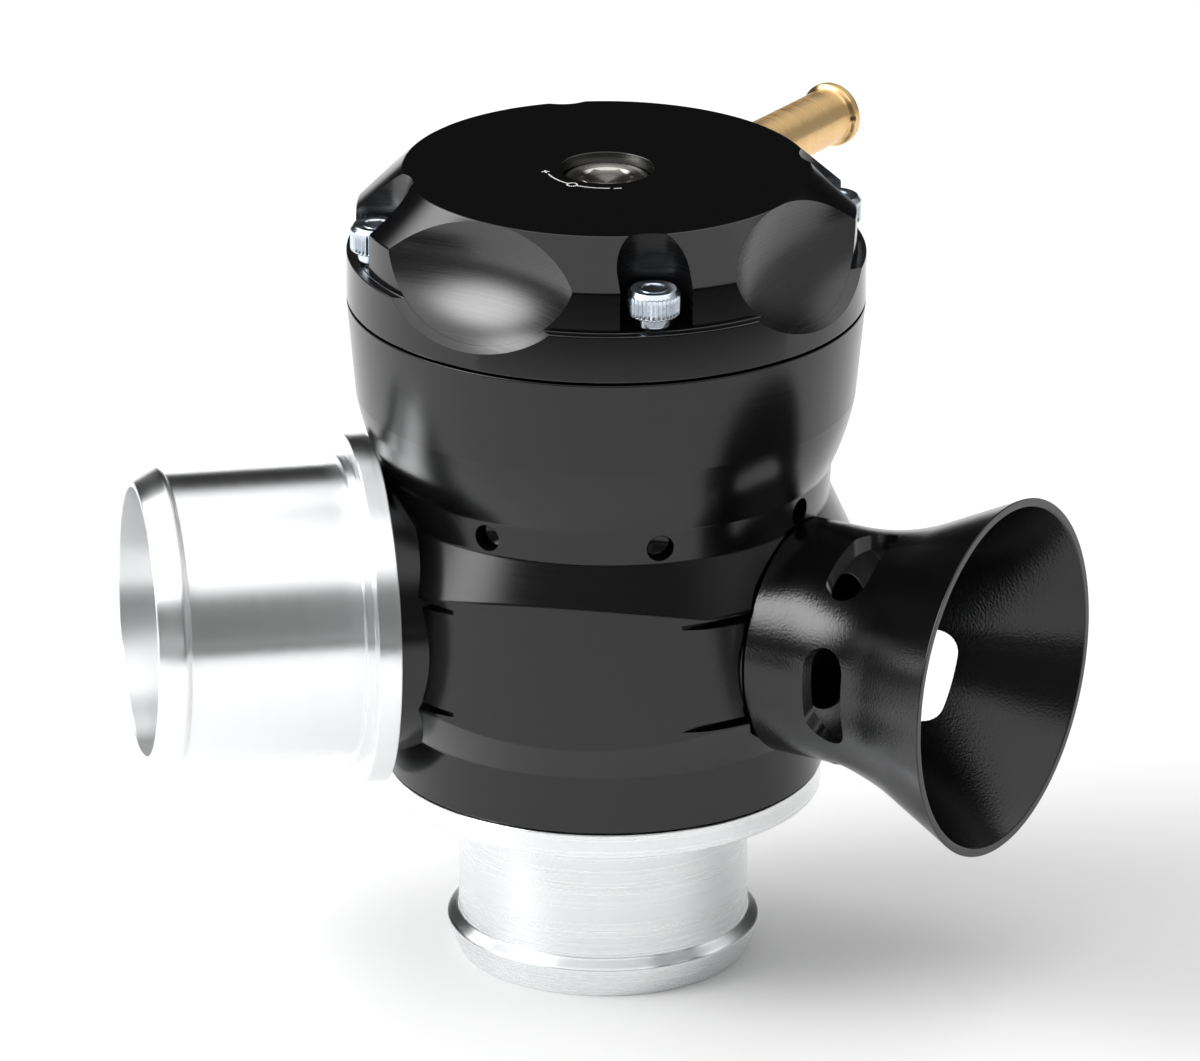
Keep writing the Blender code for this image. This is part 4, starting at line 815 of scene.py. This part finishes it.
def nipple_outline():
    """A thin pipe with a bead at its end."""
    return [
        (2.0, 46.7), (3.3, 46.7), (3.7, 46.2), (3.7, 45.3), (3.2, 44.9), (3.2, 18.2), (2.8, 17.8),
        (2.0, 17.8),
    ]


# Shapes of the screws


def cap_screw_shape(azimuth):
    """A socket head screw whose head radius is R - depth (1 + cos(teeth a)) / 2 on its side."""
    teeth = sizes().knurl_teeth
    depth = sizes().knurl_depth / MM
    steps = teeth * 6
    outline = divided(rounded([
        (0.0, 71.0), (1.4, 71.0), (1.4, 84.2), (2.1, 84.2), (2.1, 85.3), (2.75, 85.3),
        (2.95, 85.5), (3.0, 87.75), (2.55, 88.3), (0.0, 88.3),
    ], 0.08), 0.4)
    outline = outline[(outline[:, 0] > 1.75) | (outline[:, 1] < 88.0)]

    def knurled(radius, height, angle):
        on_side = np.interp(height, [85.4, 85.6, 87.6, 87.85], [0.0, 1.0, 1.0, 0.0])
        groove = depth * (1 + np.cos(teeth * angle)) / 2
        return radius - on_side * groove * (radius > 2.7), height

    rings = turned_rings(outline, steps, knurled)
    socket = socket_rings(steps, 2.5, 88.3, 86.8)
    placed = upright_frame(azimuth, CAP_SCREW_CIRCLE)
    return ring_shape(np.concatenate((rings, socket)), placed)


def socket_rings(steps, width, top, bottom):
    """A hexagon socket: a chamfered rim, straight walls, and a shallow drill point.

    At the angle a its wall has the radius (width / 2) / cos(a mod 60 - 30 degrees).
    """
    angle = np.linspace(0.0, math.tau, steps, endpoint=False)
    hexagon = width / 2 / np.cos(np.mod(angle, math.pi / 3) - math.pi / 6)
    corner = width / math.sqrt(3.0)
    chamfer = top - (corner + 0.12 - hexagon) * 0.5
    rows = [
        (np.full(steps, corner + 0.12), np.full(steps, top)),
        (hexagon, chamfer),
        (hexagon, np.full(steps, bottom + 0.05)),
        (hexagon - 0.05, np.full(steps, bottom)),
        (np.full(steps, width * 0.42), np.full(steps, bottom)),
        (np.zeros(steps), np.full(steps, bottom - width * 0.12)),
    ]
    return np.stack([
        np.stack((radius * np.cos(angle), radius * np.sin(angle), height), axis=-1)
        for radius, height in rows
    ])


def preload_shape():
    """The adjusting screw: a low head with a hexagon socket, a neck with grooves and a thread."""
    outline = rounded([
        (0.0, 69.3), (3.0, 69.3), (3.0, 82.6), (4.0, 82.6), (4.0, 83.3), (3.2, 83.3), (3.2, 84.9),
        (4.0, 84.9), (4.0, 85.65), (2.5, 85.65), (2.5, 87.45), (4.0, 87.45), (4.0, 88.2),
        (5.0, 88.2), (5.0, 91.75), (4.45, 92.2), (0.0, 92.2),
    ], 0.1)
    outline = divided(outline, 0.8)
    outline = outline[(outline[:, 0] > 3.4) | (outline[:, 1] < 92.0)]
    steps = 192
    return ring_shape(np.concatenate((turned_rings(outline, steps), socket_rings(steps, 5.0, 92.2, 89.7))))


# Shapes of the moving parts


def piston_outline():
    """A cup with a head wider than its skirt, and grooves for the wear ring and the O-ring."""
    return [
        (14.0, 63.4), (18.7, 63.4), (18.7, 61.95), (17.4, 61.95), (17.4, 59.5), (18.7, 59.5),
        (18.7, 59.0), (17.2, 59.0), (17.2, 57.8), (18.7, 57.8), (18.7, 57.0), (16.7, 57.0),
        (16.7, 29.3), (12.2, 29.3), (0.0, 30.5), (0.0, 33.5), (14.0, 33.5),
    ]


def spring_shapes():
    """The lower and the upper half of a wire along x = 10.85 cos a, y = 10.85 sin a.

    Its radius is 0.95 mm and it takes seven turns upwards. The height rises by the closed
    pitch in the first and the last turn, and by the open pitch in the five between them. The
    wire's section lies square to the path, and each end is closed at its middle.
    """
    turns = np.linspace(0.0, 7.0, 7 * 48 + 1)
    coil_radius, wire_radius, closed_pitch = 10.85, 0.95, 2.2
    open_pitch = (SPRING_TOP - SPRING_FOOT - 2 * wire_radius - 2 * closed_pitch) / 5
    rates = np.interp(turns, [0.8, 1.2, 5.8, 6.2], [closed_pitch, open_pitch, open_pitch, closed_pitch])
    rises = (rates[1:] + rates[:-1]) / 2 * np.diff(turns)
    height = SPRING_FOOT + wire_radius + np.concatenate(([0.0], np.cumsum(rises)))
    angle = math.tau * turns
    outward = np.stack((np.cos(angle), np.sin(angle), np.zeros_like(angle)), axis=1)
    middle = coil_radius * outward + height[:, None] * np.array([0.0, 0.0, 1.0])
    along = np.gradient(middle, axis=0)
    along /= np.linalg.norm(along, axis=1)[:, None]
    across = np.cross(along, outward)
    around = np.linspace(0.0, math.tau, 20, endpoint=False)[None, :, None]
    wire = wire_radius * (np.cos(around) * outward[:, None] + np.sin(around) * across[:, None])
    rings = np.pad(middle[:, None] + wire, ((1, 1), (0, 0), (0, 0)), mode="edge")
    rings[0], rings[-1] = middle[0], middle[-1]
    half = len(rings) // 2
    lower, upper = rings[:half + 1], rings[half:]
    end = np.broadcast_to(middle[half - 1], lower[:1].shape)
    return [ring_shape(shape, closed=False) for shape in (
        np.concatenate((lower, end)), np.concatenate((end, upper)))]


# Operators


class VALVE_OT_body(bpy.types.Operator):
    """Turn and mill the body."""
    bl_idname = "valve.body"
    bl_label = "Valve body"

    def execute(self, context):
        dress(make_body(), black_anodised("Hard black anodised aluminium"), "valve", "valve_body")
        return {"FINISHED"}


class VALVE_OT_cap(bpy.types.Operator):
    """Turn and mill the cap."""
    bl_idname = "valve.cap"
    bl_label = "Head cap"

    def execute(self, context):
        dress(make_cap(), cap_black("Polished black anodised aluminium"), "valve", "head_cap")
        return {"FINISHED"}


class VALVE_OT_adaptors(bpy.types.Operator):
    """Turn both hose adaptors."""
    bl_idname = "valve.adaptors"
    bl_label = "Hose adaptors"

    def execute(self, context):
        inlet = add_piece("inlet_turned", turned_shape(inlet_outline(), 2.0))
        metal = turned_metal("Turned aluminium of the inlet", colours().aluminium,
                             roughness=0.28, line_depth=0.0004)
        dress(inlet, metal, "valve", "inlet_adaptor")
        placed = radial_frame(OUTLET_AZIMUTH, PORT_HEIGHT)
        outlet = add_piece("outlet_turned", turned_shape(outlet_outline(), 2.0, placed))
        metal = turned_metal("Turned aluminium of the outlet", colours().aluminium, placed)
        dress(outlet, metal, "valve", "outlet_adaptor")
        return {"FINISHED"}


class VALVE_OT_trumpet(bpy.types.Operator):
    """Turn the trumpet and cut its windows."""
    bl_idname = "valve.trumpet"
    bl_label = "Trumpet"

    def execute(self, context):
        placed = radial_frame(TRUMPET_AZIMUTH, PORT_HEIGHT)
        finish = black_anodised("Black anodised aluminium of the trumpet", placed,
                                roughness=0.18, grit_depth=0.02, grit_width=0.28)
        dress(make_trumpet(placed), finish, "valve", "trumpet")
        return {"FINISHED"}


class VALVE_OT_nipple(bpy.types.Operator):
    """Turn the vacuum nipple."""
    bl_idname = "valve.nipple"
    bl_label = "Vacuum nipple"

    def execute(self, context):
        placed = radial_frame(NIPPLE_AZIMUTH, NIPPLE_HEIGHT)
        nipple = add_piece("nipple_turned", turned_shape(nipple_outline(), 1.0, placed, steps=128))
        finish = turned_metal("Turned brass", colours().brass, placed, roughness=0.26,
                              line_depth=0.0003)
        dress(nipple, finish, "valve", "vacuum_nipple")
        return {"FINISHED"}


class VALVE_OT_screws(bpy.types.Operator):
    """Make the four cap screws and the preload screw."""
    bl_idname = "valve.screws"
    bl_label = "Screws"

    def execute(self, context):
        # Bright zinc plate with a blue passivate lies over cold headed steel.
        zinc = grained("Zinc plated steel", colours().zinc, 1.0, (0.14, 0.28), 700.0, 3.0, 0.01)
        for number in range(4):
            node = "cap_screw_{}".format(number + 1)
            shape = cap_screw_shape(CAP_SCREW_AZIMUTH + 90 * number)
            dress(add_piece(node + "_knurled", shape), zinc, "valve", node)
        finish = turned_metal("Turned stainless steel", colours().stainless, roughness=0.22,
                              line_depth=0.0003)
        dress(add_piece("preload_screw_turned", preload_shape()), finish, "adjuster", "preload_screw")
        return {"FINISHED"}


class VALVE_OT_moving_parts(bpy.types.Operator):
    """Turn the piston and wind the main spring in two halves."""
    bl_idname = "valve.moving_parts"
    bl_label = "Piston and spring"

    def execute(self, context):
        piston = add_piece("piston_turned", turned_shape(piston_outline(), 3.0))
        dress(piston, turned_metal("Turned aluminium of the piston", colours().aluminium),
              "piston", "piston")
        # Drawn wire is oiled and slightly dull.
        steel = grained("Drawn spring steel wire", colours().steel, 1.0, (0.28, 0.44), 1200.0, 4.0)
        # The spring is made in a lower and an upper half, both on the valve's body.
        ends = (("lower", "piston_slide", PISTON_TRAVEL), ("upper", "seat_slide", SEAT_TRAVEL))
        for shape, (end, joint, travel) in zip(spring_shapes(), ends):
            spring = dress(add_piece("main_spring_" + end, shape), steel, "valve", "main_spring")
            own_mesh(spring)
        return {"FINISHED"}


class VALVE_OT_inner_parts(bpy.types.Operator):
    """Give the parts inside, which keep their solids, their finishes."""
    bl_idname = "valve.inner_parts"
    bl_label = "Inner parts"

    def execute(self, context):
        # The mould leaves a fine matt grain on the rubber and the band. The strip is as dull as
        # the spring's wire, and the seat is turned.
        rubber = grained("Moulded nitrile rubber", colours().rubber, 0.0, (0.52, 0.68), 5000.0, 2.0, 0.004)
        band = grained("Filled plastic band", colours().band, 0.0, (0.42, 0.58), 5000.0, 2.0, 0.004)
        steel = grained("Drawn spring steel strip", colours().steel, 1.0, (0.28, 0.44), 1200.0, 4.0)
        seat = turned_metal("Turned aluminium of the seat", colours().aluminium)
        finishes = (
            (rubber, ("cap_seal", "inlet_o_ring", "outlet_o_ring", "trumpet_o_ring", "piston_o_ring",
                      "preload_screw_o_ring")),
            (band, ("piston_wear_ring",)),
            (steel, ("inlet_snap_ring", "outlet_snap_ring", "preload_clip")),
            (seat, ("spring_seat",)),
        )
        for finish, nodes in finishes:
            for node in nodes:
                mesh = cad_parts[node].data
                mesh.materials.clear()
                mesh.materials.append(finish)
        return {"FINISHED"}


class VALVE_OT_stage(bpy.types.Operator):
    """Set up the floor, the lamps and the camera."""
    bl_idname = "valve.stage"
    bl_label = "Studio"

    def execute(self, context):
        stage = context.scene.valve_stage
        add_floor()
        add_card()
        add_lamp("Key lamp", 196.0, 36.0, 2.2, 2.3, stage.key_level)
        add_lamp("Back lamp", 145.0, 42.0, 2.2, 1.3, stage.back_level)
        add_world(stage)
        add_camera(stage)
        context.scene.view_settings.view_transform = "Standard"
        return {"FINISHED"}


def towards(azimuth, elevation):
    """The unit direction at an azimuth and an elevation in degrees."""
    around, up = math.radians(azimuth), math.radians(elevation)
    return Vector((math.cos(up) * math.cos(around), math.cos(up) * math.sin(around), math.sin(up)))


def add_ground(name, corners, faces, finish, colour):
    """A flat piece of the stage with no gloss."""
    mesh = bpy.data.meshes.new(name)
    mesh.from_pydata(corners, [], faces)
    ground = add_object(name, mesh)
    material, tree, shader = start_material(finish, linear(colour), 0.0, 0.9)
    shader.inputs["Specular IOR Level"].default_value = 0.0
    mesh.materials.append(material)
    return ground


def add_floor():
    """A white floor that is lit by the lamps and keeps the shadow."""
    reach = 6.0
    corners = [(-reach, -reach, 0.0), (reach, -reach, 0.0), (reach, reach, 0.0), (-reach, reach, 0.0)]
    add_ground("floor", corners, [(0, 1, 2, 3)], "White studio floor", "#e9e9e9")


def add_card():
    """A black card on the floor, part of a ring (r cos a, r sin a, 2 mm), seen in reflections only.

    It lies in front and on the right, where the upright walls of the cap reflect it.
    """
    angle = np.radians(np.linspace(215.0, 352.0, 30))
    rim = np.stack((np.cos(angle), np.sin(angle), np.zeros_like(angle)), axis=1)
    corners = np.concatenate((0.24 * rim, 1.3 * rim)) + np.array([0.0, 0.0, 2.0 * MM])
    near = np.arange(len(angle) - 1)
    faces = np.stack((near, near + len(angle), near + len(angle) + 1, near + 1), axis=1)
    card = add_ground("black_card", corners.tolist(), faces.tolist(), "Black card", "#0a0a0a")
    card.visible_camera = card.visible_diffuse = card.visible_shadow = False


def add_lamp(name, azimuth, elevation, distance, width, level):
    """A round softbox that faces the valve and fades to its edge.

    level is the brightness of its middle, as seen in a mirror.
    """
    lamp = bpy.data.lights.new(name, "AREA")
    lamp.shape = "DISK"
    lamp.size = width
    lamp.energy = level * math.pi ** 2 * width ** 2 / 4
    lamp.use_nodes = True
    tree = lamp.node_tree
    place = add_node(tree, "ShaderNodeNewGeometry").outputs["Parametric"]
    from_middle = add_node(tree, "ShaderNodeVectorMath", {0: place, 1: (0.5, 0.5, 0.0)},
                           operation="DISTANCE")
    fade = add_node(tree, "ShaderNodeMapRange", {
        "Value": from_middle.outputs["Value"], "From Min": 0.15, "From Max": 0.5,
        "To Min": 1.0, "To Max": 0.0}, interpolation_type="SMOOTHSTEP")
    tree.links.new(fade.outputs[0], tree.nodes["Emission"].inputs["Strength"])
    thing = add_object(name, lamp)
    direction = towards(azimuth, elevation)
    thing.location = direction * distance + Vector((0.0, 0.0, 45.0 * MM))
    thing.rotation_euler = direction.to_track_quat("Z", "Y").to_euler()
    thing.visible_camera = False


def add_world(stage):
    """A studio room: a white ceiling, a grey front, a lighter wall on the right, dark behind."""
    world = bpy.data.worlds.new("Studio room")
    bpy.context.scene.world = world
    world.use_nodes = True
    tree = world.node_tree
    place = add_node(tree, "ShaderNodeTexCoord").outputs["Generated"]
    split = add_node(tree, "ShaderNodeSeparateXYZ", {0: place})
    # The room is dark behind the valve, as seen in the flat top, and grey in front of it. A row
    # is an axis, where a part starts and ends along it, and its brightness there.
    parts = (
        ("Y", 0.5, -0.3, 0.02, stage.room_level),
        ("Z", 0.52, 0.74, 0.0, stage.ceiling_level),
        ("X", 0.5, 0.9, 0.0, stage.side_level),
    )
    level = 0.0
    for axis, start, end, low, high in parts:
        part = add_node(tree, "ShaderNodeMapRange", {
            "Value": split.outputs[axis], "From Min": start, "From Max": end,
            "To Min": low, "To Max": high}, interpolation_type="SMOOTHSTEP")
        total = add_node(tree, "ShaderNodeMath", {0: level, 1: part.outputs[0]}, operation="ADD")
        level = total.outputs[0]
    background = tree.nodes["Background"]
    tree.links.new(level, background.inputs["Strength"])
    background.inputs["Color"].default_value = (1.0, 1.0, 1.0, 1.0)


def add_camera(stage):
    """A long lens whose axis meets the valve's axis 50 mm above the floor."""
    data = bpy.data.cameras.new("Camera")
    camera = add_object("Camera", data)
    direction = Vector((0.0, -math.cos(stage.camera_elevation), math.sin(stage.camera_elevation)))
    camera.location = Vector((0.0, 0.0, 50.0 * MM)) + direction * stage.camera_distance
    # The photograph is turned by 0.3 degrees about the lens axis.
    roll = Matrix.Rotation(math.radians(0.301), 4, "Z")
    upright = Euler((math.pi / 2 - stage.camera_elevation, 0.0, 0.0)).to_matrix().to_4x4()
    camera.rotation_euler = (upright @ roll).to_euler()
    data.sensor_width = 36.0
    data.lens = 349.93
    data.shift_x = -0.00413
    data.shift_y = -0.0004
    data.clip_start, data.clip_end = 0.05, 50.0
    bpy.context.scene.camera = camera


class VALVE_PT_panel(bpy.types.Panel):
    """The valve's pieces, sizes and colours."""
    bl_idname = "VALVE_PT_panel"
    bl_label = "Blow off valve"
    bl_space_type = "VIEW_3D"
    bl_region_type = "UI"
    bl_category = "Valve"

    def draw(self, context):
        for group in ("valve_sizes", "valve_colours", "valve_stage"):
            column = self.layout.column(align=True)
            settings = getattr(context.scene, group)
            for name in settings.bl_rna.properties.keys():
                if name not in ("rna_type", "name"):
                    column.prop(settings, name)
        for operator in OPERATORS:
            self.layout.operator(operator.bl_idname)


GROUPS = {"valve_sizes": ValveSizes, "valve_colours": ValveColours, "valve_stage": ValveStage}
OPERATORS = (
    VALVE_OT_body, VALVE_OT_cap, VALVE_OT_adaptors, VALVE_OT_trumpet, VALVE_OT_nipple,
    VALVE_OT_screws, VALVE_OT_moving_parts, VALVE_OT_inner_parts, VALVE_OT_stage,
)


def register():
    for name, group in GROUPS.items():
        bpy.utils.register_class(group)
        setattr(bpy.types.Scene, name, bpy.props.PointerProperty(type=group))
    for operator in OPERATORS:
        bpy.utils.register_class(operator)
    bpy.utils.register_class(VALVE_PT_panel)


def unregister():
    bpy.utils.unregister_class(VALVE_PT_panel)
    for operator in reversed(OPERATORS):
        bpy.utils.unregister_class(operator)
    for name, group in GROUPS.items():
        delattr(bpy.types.Scene, name)
        bpy.utils.unregister_class(group)


def main():
    """Registers the add-on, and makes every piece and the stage."""
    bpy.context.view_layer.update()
    register()
    for operator in OPERATORS:
        getattr(bpy.ops.valve, operator.bl_idname.partition(".")[2])()


if __name__ == "__main__":
    main()
